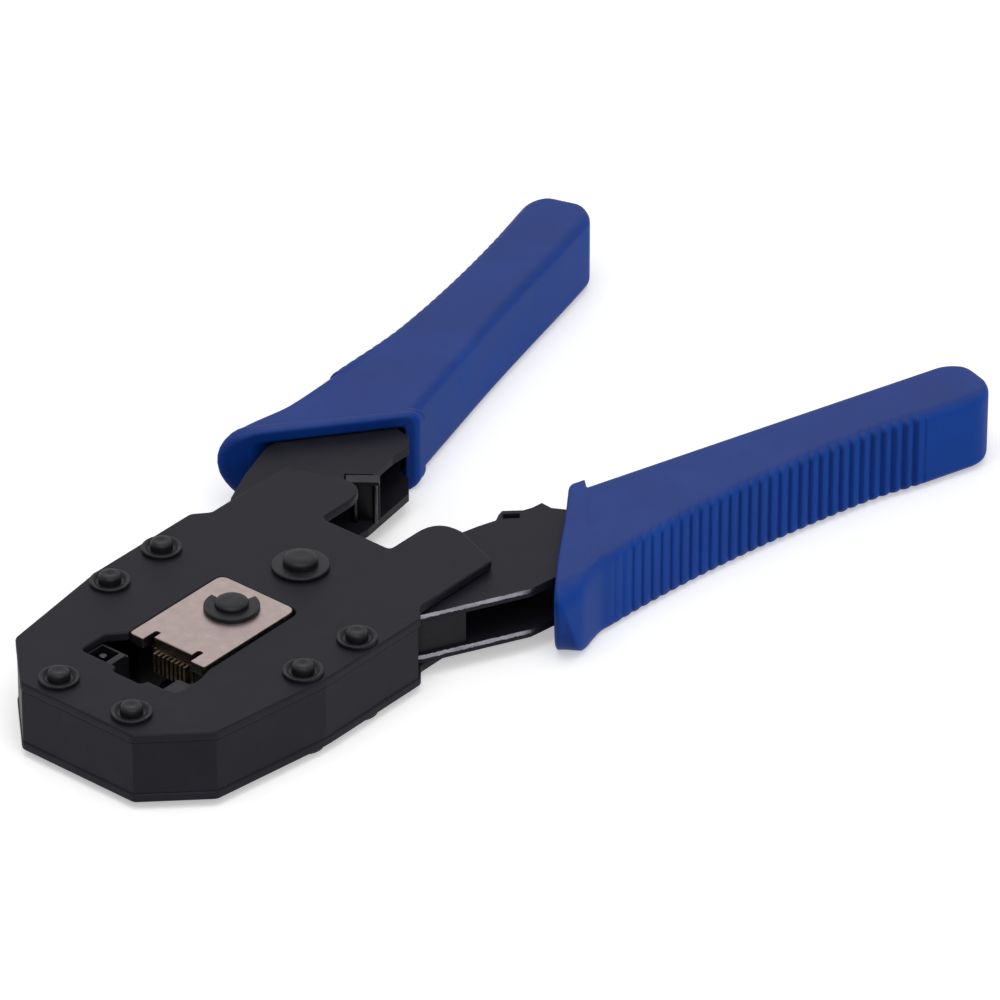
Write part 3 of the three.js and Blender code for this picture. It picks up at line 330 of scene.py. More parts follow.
def grip_plastic(name):
    """Dip-moulded blue vinyl, satin: a fine skin texture 0.35 mm across on waves of 3 mm, soft flow
    marks 14 mm long, a paler, greyer painted sheen on the faces that look up, and a darker painted
    shade on the front faces towards the head."""
    made, tree, output = blank_material(name)
    place = add_node(tree, "ShaderNodeTexCoord").outputs["Object"]
    flow = grain(tree, place, 14.0, 3.0)
    skin = grain(tree, place, 0.35, 2.0)
    waves = grain(tree, place, 3.0, 2.0)
    tint = tones(tree, flow, [(0.28, "#083a8a"), (0.52, "#0a3d93"), (0.76, "#10459b")])
    # Painted sheen: paler, greyer tones for the faces that look up.
    painted_top_sheen = tones(tree, flow, [(0.28, "#273b7a"), (0.52, "#2b4081"), (0.76, "#32478a")])
    # Painted shade: darker tones for the front faces that look towards the head.
    painted_front_shade = tones(tree, flow, [(0.28, "#042766"), (0.52, "#062a6e"), (0.76, "#0a3078")])
    # Share of the painted sheen, by how far a face looks up.
    top_sheen_share = ranged(tree, facing(tree, "Z"), 0.25, 0.95)
    # Share of the painted shade, on faces looking back towards the head.
    front = calculate(
        tree,
        "MULTIPLY",
        ranged(tree, facing(tree, "Y"), -0.33, -0.65),
        ranged(tree, facing(tree, "X"), -0.3, 0.2),
    )
    colour = colour_mix(tree, top_sheen_share, colour_mix(tree, front, tint, painted_front_shade), painted_top_sheen)
    shader = principled(
        tree,
        {
            "Base Color": colour,
            "Roughness": spread(tree, flow, 0.46, 0.56),
            "Specular IOR Level": 0.09,
            "Normal": relief(tree, skin, 0.015, 0.5, under=relief(tree, waves, 0.03, 0.4)),
        },
    )
    tree.links.new(shader, output.inputs["Surface"])
    return made


def floor_paper(name):
    """White studio paper: matt, with a faint tooth. Rays from the camera, from gloss and through
    glass see it glow a little too, so that it stays white round the tool and keeps its shadow."""
    made, tree, output = blank_material(name)
    place = add_node(tree, "ShaderNodeTexCoord").outputs["Object"]
    tooth = grain(tree, place, 1.5, 2.0)
    paper = principled(
        tree,
        {
            "Base Color": tones(tree, tooth, [(0.3, "#e9e9ea"), (0.7, "#ededee")]),
            "Roughness": 0.9,
            "Specular IOR Level": 0.1,
        },
    )
    glow = add_node(tree, "ShaderNodeEmission", {"Color": WHITE, "Strength": SURROUND_LIGHT})
    both = add_node(tree, "ShaderNodeAddShader", {0: paper, 1: glow.outputs["Emission"]})
    mixed = shader_mix(tree, seen_directly(tree), paper, both.outputs["Shader"])
    tree.links.new(mixed, output.inputs["Surface"])
    return made


def seen_directly(tree):
    """1 for rays from the camera, from gloss and through glass, 0 for the rest."""
    path = add_node(tree, "ShaderNodeLightPath").outputs
    seen = path["Is Camera Ray"]
    for other in ("Is Glossy Ray", "Is Transmission Ray"):
        seen = calculate(tree, "MAXIMUM", seen, path[other])
    return seen


def light_world():
    """A plain white surround: it lights the tool with SURROUND_LIGHT and looks white."""
    world = bpy.data.worlds.new("surround")
    world.use_nodes = True
    tree = world.node_tree
    tree.nodes.clear()
    output = add_node(tree, "ShaderNodeOutputWorld")
    lit, shown = (
        add_node(
            tree, "ShaderNodeBackground", {"Color": WHITE, "Strength": strength}
        ).outputs["Background"]
        for strength in (SURROUND_LIGHT, 1.0)
    )
    mixed = shader_mix(tree, seen_directly(tree), lit, shown)
    tree.links.new(mixed, output.inputs["Surface"])
    bpy.context.scene.world = world


MATERIALS = {
    "black_enamel": black_enamel("stoved_black_enamel"),
    # Arm enamel with bands of bright steel at the flanges' top arrises: bare cut edge and painted
    # highlight.
    "arm_enamel": black_enamel(
        "stoved_black_enamel_bare_and_highlit_edges", [(13.15, 13.98), (4.45, 5.28)]
    ),
    # Steel blacked in an oxide bath: darker than bare metal, a little gloss on its worked faces.
    # Its walls and undersides take darker stops, a painted shade.
    "blacked_steel": worked_metal(
        "black_oxide_steel",
        [(0.3, "#17171b"), (0.55, "#222227"), (0.8, "#34343b")],
        (0.36, 0.5), 0.25, 0.45, depth_mm=0.02, gloss=0.2,
        # Painted shade: darker stops for walls and undersides.
        edges=[(0.3, "#0d0d10"), (0.55, "#131317"), (0.8, "#1d1d23")],
    ),
    # Nickel plate over ground steel: warm grey, satin, with grinding marks across the slide; its
    # walls and cut edges take darker stops, a painted shade.
    "nickel_plate": worked_metal(
        "nickel_plated_steel",
        [(0.3, "#968986"), (0.55, "#a39491"), (0.8, "#b3a4a1")],
        (0.36, 0.5), 1.0, 0.35, (1.0, 0.25, 1.0), depth_mm=0.008,
        # Painted shade: darker stops for walls and undersides.
        edges=[(0.3, "#2f2a29"), (0.55, "#4a4341"), (0.8, "#6a605e")],
    ),
    # The ram's block: the same plate, darkened all over as a painted shade for the shade inside the
    # head.
    "nickel_in_painted_shade": worked_metal(
        "nickel_plate_darkened_as_painted_shade",
        [(0.3, "#161517"), (0.55, "#221f21"), (0.8, "#312d2e")],
        (0.36, 0.5), 1.0, 0.35, depth_mm=0.01,
    ),
    # Ground tool steel, kept dark grey, with fine lines.
    "blade_steel": worked_metal(
        "ground_tool_steel",
        [(0.3, "#2e2e33"), (0.7, "#505058")],
        (0.26, 0.4), 1.0, 0.25, (1.0, 1.0, 0.2), depth_mm=0.006,
    ),
    # Drawn spring wire with a thin oil-dark skin.
    "spring_steel": worked_metal(
        "drawn_spring_steel",
        [(0.3, "#57575c"), (0.7, "#82828a")],
        (0.28, 0.42), 1.0, 0.3, depth_mm=0.006,
    ),
    # Milled brass-coloured comb; its walls and undersides take darker brown stops, a painted shade.
    "comb_brass": worked_metal(
        "brass_coloured_with_painted_wall_shade",
        [(0.3, "#85745e"), (0.55, "#b39f83"), (0.8, "#d6c5a9")],
        (0.34, 0.5), 1.0, 0.4, depth_mm=0.01,
        # Painted shade: darker stops for walls and undersides.
        edges=[(0.3, "#463c30"), (0.55, "#6b5e4c"), (0.8, "#8c7d68")],
    ),
    "blue_grip": grip_plastic("blue_vinyl"),
}

# The finish of each piece.
FINISHES = {
    "black_enamel": ["top_side_plate", "bottom_side_plate", "head_frame", "fixed_arm"],
    "arm_enamel": ["moving_arm"],
    "blacked_steel": [
        "die_nest", "pivot_rivet", "pivot_washer_top", "pivot_washer_bottom",
        "fixed_arm_spacer", "blade_holder", "cam_block", "ram_pin", "ram_ring_top",
        "ram_ring_bottom", "rivet_nose_left", "rivet_nose_right", "rivet_front_left",
        "rivet_front_right", "rivet_rear_left", "rivet_rear_right",
    ],
    "nickel_plate": ["ram_top_plate", "ram_bottom_plate"],
    "nickel_in_painted_shade": ["ram_block"],
    "blade_steel": [
        "nest_pin", "cutter_blade", "stripper_blade", "strain_relief_pusher",
        "ram_dowel_left", "ram_dowel_right", "cam_dowel_front", "cam_dowel_rear",
    ],
    "spring_steel": ["return_spring", "pivot_bushing"],
    "comb_brass": ["contact_comb"],
    "blue_grip": ["fixed_grip", "moving_grip"],
}
FINISH_OF = {node: finish for finish, nodes in FINISHES.items() for node in nodes}


# ---------------------------------------------------------------- meshes

CREASE = 35.0  # degrees past which an edge is sharp


def signed_volume(points, quads, triangles):
    """Sum of p . (q x r) / 6 over all triangles, with each quad as two."""
    corners = np.concatenate([triangles, quads[:, [0, 1, 2]], quads[:, [0, 2, 3]]])
    p, q, r = (points[corners[:, i]] for i in range(3))
    return (p * np.cross(q, r)).sum() / 6


def add_piece(node, points, quads, triangles, crease=CREASE):
    """Writes a closed mesh as the piece that stands for a CAD node: faces turned outward, smooth
    up to the crease angle, riding on the node's body and finished as FINISHES gives for it."""
    if signed_volume(points, quads, triangles) < 0:
        quads = quads[:, ::-1]
        triangles = triangles[:, ::-1]
    mesh = bpy.data.meshes.new(f"{node}_surface")
    mesh.from_pydata((points * MM).tolist(), [], quads.tolist() + triangles.tolist())
    mesh.shade_smooth()
    mesh.set_sharp_from_angle(angle=np.radians(crease))
    mesh.materials.append(MATERIALS[FINISH_OF[node]])
    piece = bpy.data.objects.new(f"{node}_surface", mesh)
    bpy.context.scene.collection.objects.link(piece)
    even = piece.modifiers.new("even_shading", "WEIGHTED_NORMAL")
    even.keep_sharp = True
    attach(piece, BODY_OF[node])
    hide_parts(node)


def ringed(rings, first, last):
    """A closed surface through rings of points, shape (rows, sides, 3): row i, column j joins to
    row i + 1 and column j + 1, wrapping round, and a fan closes each end to its pole."""
    rows, sides, _ = rings.shape
    index = np.arange(rows * sides).reshape(rows, sides)
    beside = np.roll(index, -1, axis=1)
    quads = np.stack([index[:-1], beside[:-1], beside[1:], index[1:]], axis=-1).reshape(-1, 4)
    start = np.stack([beside[0], index[0], np.full(sides, rows * sides)], axis=-1)
    end = np.stack([index[-1], beside[-1], np.full(sides, rows * sides + 1)], axis=-1)
    points = np.concatenate([rings.reshape(-1, 3), [first], [last]])
    return points, quads, np.concatenate([start, end])


def softened(corners, steps=5, closed=True):
    """A line through corners of (x, y, cut). Each corner is the curve (1-w)^2 a + 2w(1-w) c + w^2 b
    for w from 0 to 1, where c is the corner and a and b lie the cut's length along its sides."""
    corners = np.array(corners, float)
    place = corners[:, :2]
    cut = corners[:, 2:]
    back = np.roll(place, 1, axis=0) - place
    ahead = np.roll(place, -1, axis=0) - place
    start = place + cut * back / np.linalg.norm(back, axis=1, keepdims=True)
    end = place + cut * ahead / np.linalg.norm(ahead, axis=1, keepdims=True)
    w = np.linspace(0, 1, steps)[None, :, None]
    curve = (1 - w) ** 2 * start[:, None] + 2 * w * (1 - w) * place[:, None] + w**2 * end[:, None]
    points = curve.reshape(-1, 2)
    apart = np.linalg.norm(points - np.roll(points, 1, axis=0), axis=1) > 1e-3
    if not closed:
        apart[0] = True
    return points[apart]


def turned_piece(node, profile, sides=64, steps=4):
    """A body of revolution: radius and height follow a softened profile of (radius, z, cut) from
    pole to pole, turned round the middle of the node's box; z counts from the box's foot."""
    low, high = (np.array(corner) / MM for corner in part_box(node))
    middle = (low + high) / 2
    line = softened(profile, steps, closed=False)
    turn = np.linspace(0, 2 * np.pi, sides, endpoint=False)
    inner = line[1:-1]
    rings = np.stack([
        middle[0] + inner[:, :1] * np.cos(turn),
        middle[1] + inner[:, :1] * np.sin(turn),
        np.broadcast_to(low[2] + inner[:, 1:], (len(inner), sides)),
    ], axis=-1)
    first = [middle[0], middle[1], low[2] + line[0, 1]]
    last = [middle[0], middle[1], low[2] + line[-1, 1]]
    add_piece(node, *ringed(rings, first, last))


def drawn_in(loop, distance):
    """The loop moved into the metal: each point p becomes p - distance (m + n) / (1 + m . n),
    where m and n are the outward normals of the sides that meet there."""
    along = np.roll(loop, -1, axis=0) - loop
    along /= np.linalg.norm(along, axis=1, keepdims=True)
    after = np.column_stack([along[:, 1], -along[:, 0]])
    before = np.roll(after, 1, axis=0)
    share = 1 + (after * before).sum(axis=1, keepdims=True)
    return loop - distance * (after + before) / share


def turning_area(loop):
    """Signed area of a loop, positive when it runs anticlockwise."""
    ahead = np.roll(loop, -1, axis=0)
    return (loop[:, 0] * ahead[:, 1] - loop[:, 1] * ahead[:, 0]).sum() / 2


def plate(outer, holes, low, high, edge, steps=4):
    """A flat plate with holes whose arrises are quarter rounds of radius edge. Every loop is
    carried through levels with inset edge (1 - sin a) and depth edge (1 - cos a) for a from 0 to
    90 degrees, above and below, and two flat faces close it."""
    loops = [outer if turning_area(outer) > 0 else outer[::-1]]
    loops += [hole if turning_area(hole) < 0 else hole[::-1] for hole in holes]
    turn = np.linspace(0, np.pi / 2, steps)
    insets = edge * (1 - np.sin(turn))
    depths = edge * (1 - np.cos(turn))
    insets = np.concatenate([insets, insets[::-1]])
    heights = np.concatenate([high - depths, low + depths[::-1]])
    points, quads, tops, bottoms, count = [], [], [], [], 0
    for loop in loops:
        size = len(loop)
        drawn = np.stack([drawn_in(loop, inset) for inset in insets])
        level = np.broadcast_to(heights[:, None, None], (len(heights), size, 1))
        points.append(np.concatenate([drawn, level], axis=-1).reshape(-1, 3))
        index = count + np.arange(len(heights) * size).reshape(len(heights), size)
        beside = np.roll(index, -1, axis=1)
        quads.append(
            np.stack([beside[:-1], index[:-1], index[1:], beside[1:]], axis=-1).reshape(-1, 4)
        )
        tops.append(index[0])
        bottoms.append(index[-1])
        count += index.size
    points = np.concatenate(points)
    rims = [points[top] * [1, 1, 0] for top in tops]
    faces = np.array(tessellate_polygon([[Vector(p) for p in rim.tolist()] for rim in rims]))
    flat = np.concatenate(rims)[:, :2]
    a, b, c = (flat[faces[:, i]] for i in range(3))
    wound = (b - a)[:, 0] * (c - a)[:, 1] - (b - a)[:, 1] * (c - a)[:, 0]
    solid = np.abs(wound) > 1e-9
    faces = np.where(wound[solid][:, None] > 0, faces[solid], faces[solid][:, ::-1])
    upper = np.concatenate(tops)[faces]
    lower = np.concatenate(bottoms)[faces[:, ::-1]]
    return points, np.concatenate(quads), np.concatenate([upper, lower])


def round_hole(x, y, radius, sides=48):
    """A circle of points round (x, y)."""
    turn = np.linspace(0, 2 * np.pi, sides, endpoint=False)
    return np.column_stack([x + radius * np.cos(turn), y + radius * np.sin(turn)])


def levels(node):
    """Lowest and highest z of a CAD node."""
    low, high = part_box(node)
    return low.z / MM, high.z / MM


def middle_of(node):
    """Middle of a CAD node's box, seen from above."""
    low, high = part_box(node)
    return (low.x + high.x) / 2 / MM, (low.y + high.y) / 2 / MM


def rounded_arrises(node, width, segments=3):
    """Gives a CAD node its finish and rounds its arrises: corners that coincide are welded, flat
    areas joined, and edges sharper than the crease angle get a bevel of that width."""
    shown = frame["nodes"][node]
    weld = shown.modifiers.new("weld", "WELD")
    weld.merge_threshold = 0.002 * MM
    flat = shown.modifiers.new("flat_faces", "DECIMATE")
    flat.decimate_type = "DISSOLVE"
    flat.angle_limit = np.radians(0.5)
    bevel = shown.modifiers.new("arrises", "BEVEL")
    bevel.width = width * MM
    bevel.segments = segments
    bevel.limit_method = "ANGLE"
    bevel.angle_limit = np.radians(CREASE)
    bevel.harden_normals = True
    shown.data.materials.clear()
    shown.data.materials.append(MATERIALS[FINISH_OF[node]])


# ---------------------------------------------------------------- head

RIVET_R = 2.23
PIVOT_R = 2.93
RAM_PIN_R = 2.53
WASHER_R = 5.35
BUSHING_R = 4.8
PLATE_EDGE = 0.4  # rounded arris of the stamped side plates
RIVETS = [
    f"rivet_{row}_{side}" for row in ("nose", "front", "rear") for side in ("left", "right")
]


def mirrored(corners):
    """The right half's corners followed by the same corners on the left, in turn."""
    return corners + [(-x, y, cut) for x, y, cut in reversed(corners)]


def side_plate(node):
    """One stamped plate: the head's outline with two ears, the ram's window and seven holes."""
    outline = softened(mirrored([
        (13.4, -60.8, 0.7),
        (24.1, -50.4, 0.7),
        (27.8, -25.0, 2.0),
        (27.8, 1.0, 0.6),
        (25.2, 4.0, 0.6),
        (25.2, 24.4, 1.0),
        (14.5, 28.4, 0.0),
        (8.2, 29.1, 6.3),
        (8.2, 15.4, 1.0),
    ]), 9)
    window = softened([
        (-9.5, -11.2, 2.0),
        (9.5, -11.2, 2.0),
        (9.5, -36.2, 0.4),
        (10.4, -39.2, 0.4),
        (10.4, -45.8, 2.4),
        (3.9, -45.8, 0.3),
        (3.2, -47.3, 0.5),
        (-3.2, -47.3, 0.5),
        (-3.9, -45.8, 0.3),
        (-12.3, -45.8, 0.9),
        (-12.3, -39.2, 0.6),
        (-9.5, -36.2, 0.4),
    ], 7)
    holes = [window, round_hole(0, 0, PIVOT_R)]
    holes += [round_hole(*middle_of(rivet), RIVET_R) for rivet in RIVETS]
    add_piece(node, *plate(outline, holes, *levels(node), PLATE_EDGE, 5))


side_plate("top_side_plate")
side_plate("bottom_side_plate")
rounded_arrises("head_frame", 0.35)
rounded_arrises("die_nest", 0.3)

# Flanged rivets: flat foot, shank, a flange with a groove round the button, and a button whose top
# is dished by the setting tool.
RIVET_PROFILE = [
    (0, 0.15, 0), (1.2, 0.0, 0.3), (2.2, 0.0, 0.25), (2.2, 0.8, 0), (3.75, 0.8, 0.15),
    (3.75, 1.6, 0), (2.2, 1.6, 0), (2.2, 16.0, 0), (3.75, 16.0, 0), (3.75, 16.75, 0.25),
    (3.15, 16.75, 0.25), (2.55, 16.15, 0.2), (2.1, 16.15, 0.05), (2.05, 17.6, 0.25),
    (1.65, 18.0, 0.3), (0.8, 17.95, 0.3), (0, 17.75, 0),
]
for rivet in RIVETS:
    turned_piece(rivet, RIVET_PROFILE)
turned_piece("pivot_rivet", [
    (0, 0.2, 0), (1.6, 0.0, 0.4), (3.25, 0.0, 0.3), (3.25, 0.7, 0), (2.9, 0.7, 0),
    (2.9, 16.9, 0), (3.25, 16.9, 0), (3.2, 18.15, 0.3), (2.6, 18.6, 0.4), (1.4, 18.7, 0.3),
    (0, 18.6, 0),
])
for washer in ("pivot_washer_top", "pivot_washer_bottom"):
    add_piece(washer, *plate(
        round_hole(0, 0, WASHER_R, 72), [round_hole(0, 0, PIVOT_R)], *levels(washer), 0.25
    ))
add_piece("pivot_bushing", *plate(
    round_hole(0, 0, BUSHING_R, 72), [round_hole(0, 0, PIVOT_R)], *levels("pivot_bushing"), 0.3
))
turned_piece("nest_pin", [(0, 0, 0), (0.8, 0, 0.1), (0.8, 5.2, 0.3), (0, 5.2, 0)], 32)


# ---------------------------------------------------------------- arms and blades

rounded_arrises("fixed_arm", 0.3)
rounded_arrises("fixed_arm_spacer", 0.3)
rounded_arrises("blade_holder", 0.15)
rounded_arrises("cutter_blade", 0.06, 2)
rounded_arrises("stripper_blade", 0.06, 2)
rounded_arrises("moving_arm", 0.3)
rounded_arrises("cam_block", 0.3)
for dowel in ("cam_dowel_front", "cam_dowel_rear"):
    turned_piece(dowel, [(0, 0, 0), (1.5, 0, 0.25), (1.5, 10.4, 0.25), (0, 10.4, 0)], 40)


COIL_R = 6.5
COIL_TURNS = 3
WIRE_R = 0.5
WIRE_SIDES = 12
HOOK_TO_Y = -7.0
LEG_END = np.array([-15.7, 4.3])


def spring():
    """Round wire swept along a line of points: a straight hook, a coil whose height grows evenly
    with its angle, and a leg that leaves along the tangent towards LEG_END."""
    low, high = levels("return_spring")
    base, top = low + WIRE_R, high - WIRE_R
    leaving = np.arccos(COIL_R / np.linalg.norm(LEG_END))
    sweep = 2 * np.pi * COIL_TURNS + np.arctan2(LEG_END[1], LEG_END[0]) - leaving
    turn = np.linspace(0, sweep, 200)
    coil = np.column_stack([
        COIL_R * np.cos(turn), COIL_R * np.sin(turn), base + (top - base) * turn / sweep
    ])
    hook_y = np.linspace(HOOK_TO_Y, -0.4, 12)
    hook = np.column_stack([np.full_like(hook_y, COIL_R), hook_y, np.full_like(hook_y, base)])
    share = np.linspace(0.04, 1, 16)[:, None]
    straight = coil[-1] + share * (np.array([*LEG_END, top]) - coil[-1])
    path = np.concatenate([hook, coil, straight])
    along = np.gradient(path, axis=0)
    along /= np.linalg.norm(along, axis=1, keepdims=True)
    beside = np.cross(along, [0.0, 0.0, 1.0])
    beside /= np.linalg.norm(beside, axis=1, keepdims=True)
    above = np.cross(beside, along)
    angle = np.linspace(0, 2 * np.pi, WIRE_SIDES, endpoint=False)[None, :, None]
    rings = path[:, None] + WIRE_R * (
        np.cos(angle) * beside[:, None] + np.sin(angle) * above[:, None]
    )
    add_piece("return_spring", *ringed(rings, path[0], path[-1]), crease=60)


spring()


# ---------------------------------------------------------------- ram

CHEEK_EDGE = 0.25
RING_R = 5.15
RING_EDGE = 0.2
RING_OPENS_AT = np.radians(126)
RING_OPEN_HALF = np.radians(50)


def cheek(node):
    """One nickel-plated cheek: rounded rear corners, two fingers beside the comb, one hole for the
    ram's pin.
    """
    outline = softened([
        (-9.0, -11.5, 2.0),
        (-9.0, -36.6, 0.9),
        (-5.65, -36.6, 0.3),
        (-5.65, -33.0, 0.3),
        (-4.55, -33.0, 0.3),
        (-4.55, -34.9, 0.2),
        (4.55, -34.9, 0.2),
        (4.55, -33.0, 0.3),
        (5.65, -33.0, 0.3),
        (5.65, -36.6, 0.3),
        (9.0, -36.6, 0.9),
        (9.0, -11.5, 2.0),
    ], 7)
    holes = [round_hole(0, middle_of("ram_pin")[1], RAM_PIN_R)]
    add_piece(node, *plate(outline, holes, *levels(node), CHEEK_EDGE))


def retaining_ring(node):
    """A flat ring, open on the side at RING_OPENS_AT from +X: an outer arc, then an inner arc
    back."""
    first, last = RING_OPENS_AT + RING_OPEN_HALF, RING_OPENS_AT - RING_OPEN_HALF + 2 * np.pi
    turn = np.linspace(first, last, 64)[:, None]
    arc = np.concatenate([np.cos(turn), np.sin(turn)], axis=1)
    points = np.concatenate([RING_R * arc, RAM_PIN_R * arc[::-1]]) + middle_of("ram_pin")
    add_piece(node, *plate(points, [], *levels(node), RING_EDGE))


cheek("ram_top_plate")
cheek("ram_bottom_plate")
retaining_ring("ram_ring_top")
retaining_ring("ram_ring_bottom")
turned_piece("ram_pin", [
    (0, 0.1, 0), (1.2, 0.0, 0.3), (2.5, 0.0, 0.3), (2.5, 17.1, 0), (3.1, 17.1, 0),
    (3.1, 17.8, 0.3), (2.5, 18.15, 0.35), (1.2, 18.2, 0.3), (0, 18.15, 0),
])
for dowel in ("ram_dowel_left", "ram_dowel_right"):
    low, high = levels(dowel)
    turned_piece(
        dowel, [(0, 0, 0), (1.3, 0, 0.2), (1.3, high - low, 0.2), (0, high - low, 0)], 32
    )
rounded_arrises("ram_block", 0.2)
rounded_arrises("contact_comb", 0.07, 2)
rounded_arrises("strain_relief_pusher", 0.15, 2)


# ---------------------------------------------------------------- grips

# A handle has its own axes: u across it, from its inner edge to its outer one, and v along it from
# the hinge. The mouth's line runs from MOUTH_INNER_V on the inner edge to MOUTH_OUTER_V on the
# outer one, and t is the share of the way from there to the grip's end.
GRIP_END = 142.4
MOUTH_INNER_V = 54.7
MOUTH_OUTER_V = 35.0
INNER_RUN = GRIP_END - MOUTH_INNER_V
OUTER_RUN = GRIP_END - MOUTH_OUTER_V
MIDDLE_RUN = 97.0
TIP_W = 12.8
TIP_ROUND = 6.0
WIDEN_FROM_V = 132.0
WIDEN_TO_V = 40.0
WIDEN_BY = 12.2
WIDEN_POWER = 2.17
GRIP_MID_Z = 8.6
GRIP_HALF_T = 8.1
CORNER_R = 2.0
LIP_CORNER_R = 2.7
LIP_FALL = 0.9  # the rim's inner step falls over this depth
RIB_PITCH = 2.45
GROOVE_AT_V = 50.0  # a groove lies here, and others at every pitch from it
RIBS_TO_V = 126.5
ARC_STEPS = 9
SIDE_STEPS = 14

# side: 1 to the right and -1 to the left. angle: of the handle from the tool's axis. offset: u of
# the inner edge. longer: added to GRIP_END. arm: half height of the sleeve round the arm.
# tip_inner, tip_outer: fullness of the tip. swell: fullness of the whole inner side.
# ribs_from, rib: where the ribs start and how deep they are. near, beyond: fullness of the outer
# side before the ribs and over the first of them.
# inner_lip, inner_lip_to: the rim's height on the inner side and the depth where it ends.
# lobe, lobe_from, lobe_to, lobe_round: the rim's height on the outer side, the depths between
# which it falls, and its corners. lean: how far its top moves out and its bottom in, over the
# depth lean_to. slope: how far its lower front is cut back. roll: the extra radius of its front.
# foot: depth of the step on the flat sides, at the inner edge, and what it gains by the outer one.
# forward: how far the outer part of the mouth comes forward.
GRIPS = {
    "moving_grip": {
        "side": 1, "angle": np.radians(17.3), "offset": 5.2, "longer": 0.65, "arm": 5.23,
        "tip_inner": 0.0, "tip_outer": 0.7, "swell": 0.3,
        "ribs_from": 50.0, "rib": 0.6, "near": 0.2, "beyond": 0.2,
        "inner_lip": 2.9, "inner_lip_to": 4.3,
        "lobe": 3.9, "lobe_from": 7.0, "lobe_to": 12.6, "lobe_round": 5.4,
        "lean": (0.0, 0.6), "lean_to": 7.0, "slope": 4.4, "roll": 0.6, "foot": (3.4, 5.6),
        "forward": 0.6,
    },
    "fixed_grip": {
        "side": -1, "angle": np.radians(15.9), "offset": 3.4, "longer": -1.0, "arm": 5.43,
        "tip_inner": 1.3, "tip_outer": 0.0, "swell": 0.0,
        "ribs_from": 63.3, "rib": 0.4, "near": 0.45, "beyond": 1.3,
        "inner_lip": 1.9, "inner_lip_to": 4.1,
        "lobe": 4.8, "lobe_from": 4.5, "lobe_to": 14.5, "lobe_round": 7.6,
        "lean": (1.9, 3.0), "lean_to": 17.0, "slope": 1.0, "roll": 2.9, "foot": (1.6, 2.4),
        "forward": 0.0,
    },
}


def smooth_step(low, high, value):
    """3q^2 - 2q^3 with q the share of value between low and high, held to 0 and 1."""
    q = np.clip((value - low) / (high - low), 0, 1)
    return q * q * (3 - 2 * q)


def grip_width(v):
    """How far the outer edge stands from the inner one: TIP_W near the tip, plus WIDEN_BY times
    WIDEN_POWER of the share of the way from WIDEN_FROM_V to WIDEN_TO_V."""
    share = np.maximum(0, WIDEN_FROM_V - v) / (WIDEN_FROM_V - WIDEN_TO_V)
    return TIP_W + WIDEN_BY * share**WIDEN_POWER


def section(start, end, half, corner_in, corner_out, middle):
    """Rounded rectangles, one per row: s from start to end across the handle and z from middle -
    half to middle + half. Two corner radii; returns s and z, and each point's outward normal."""
    arc = np.linspace(0, np.pi / 2, ARC_STEPS)[None, :]
    along = np.linspace(0, 1, SIDE_STEPS + 2)[None, 1:-1]
    start, end, half, corner_in, corner_out = (
        np.broadcast_to(np.atleast_1d(value)[:, None], (len(np.atleast_1d(end)), 1))
        for value in (start, end, half, corner_in, corner_out)
    )
    corners = []
    for sign, radius, edge, outward in (
        (1, corner_out, end, 1), (-1, corner_out, end, 1),
        (-1, corner_in, start, -1), (1, corner_in, start, -1),
    ):
        swing = arc if sign * outward > 0 else arc[:, ::-1]
        normal_s = outward * np.sin(swing)
        normal_z = sign * np.cos(swing)
        corners.append((
            edge - outward * radius + radius * normal_s,
            sign * (half - radius) + radius * normal_z,
            np.broadcast_to(normal_s, (len(end), ARC_STEPS)),
            np.broadcast_to(normal_z, (len(end), ARC_STEPS)),
        ))
    parts = [[], [], [], []]
    for here, there in zip(corners, corners[1:] + corners[:1]):
        for part, values in zip(parts, here):
            part.append(values)
        for part, a, b in zip(parts, here, there):
            part.append(a[:, -1:] + (b[:, :1] - a[:, -1:]) * along)
    s, z, normal_s, normal_z = (np.concatenate(part, axis=1) for part in parts)
    return s, middle + z, normal_s, normal_z


def section_at(grip, t):
    """The section at t starts on the inner edge and runs to the outer edge, both evenly from the
    mouth's line to the grip's end. Returns its length, its slope's cosine, and v at its ends."""
    reach = GRIP_END + grip["longer"]
    inner_v = MOUTH_INNER_V + (reach - MOUTH_INNER_V) * t
    outer_v = MOUTH_OUTER_V + (reach - MOUTH_OUTER_V) * t
    width = grip_width(outer_v)
    length = np.hypot(width, outer_v - inner_v)
    return length, width / length, inner_v, outer_v


def brought_forward(grip, across, depth):
    """How far the mouth's outer part comes forward, less and less over 12 mm of depth."""
    return grip["forward"] * smooth_step(0.15, 0.75, across) * np.clip(1 - depth / 12, 0, 1)


def handle_place(grip, t, s, z, ahead):
    """Points at s along the section at t, in the tool's frame: u = s cos and v = inner v + s sin of
    the section's slope, less ahead, then turned by the handle's angle."""
    length, slope_cos, inner_v, outer_v = section_at(grip, t)
    u = s * slope_cos[:, None] + grip["offset"]
    v = inner_v[:, None] + s * ((outer_v - inner_v) / length)[:, None] - ahead
    cosine, sine = np.cos(grip["angle"]), np.sin(grip["angle"])
    return np.stack([grip["side"] * (u * cosine + v * sine), -u * sine + v * cosine, z], axis=-1)


def round_off(left, radius):
    """Inset of a quarter round at a distance left from its end: r - sqrt(r^2 - (r - left)^2)."""
    short = np.clip(radius - left, 0, radius)
    return radius - np.sqrt(radius**2 - short**2)


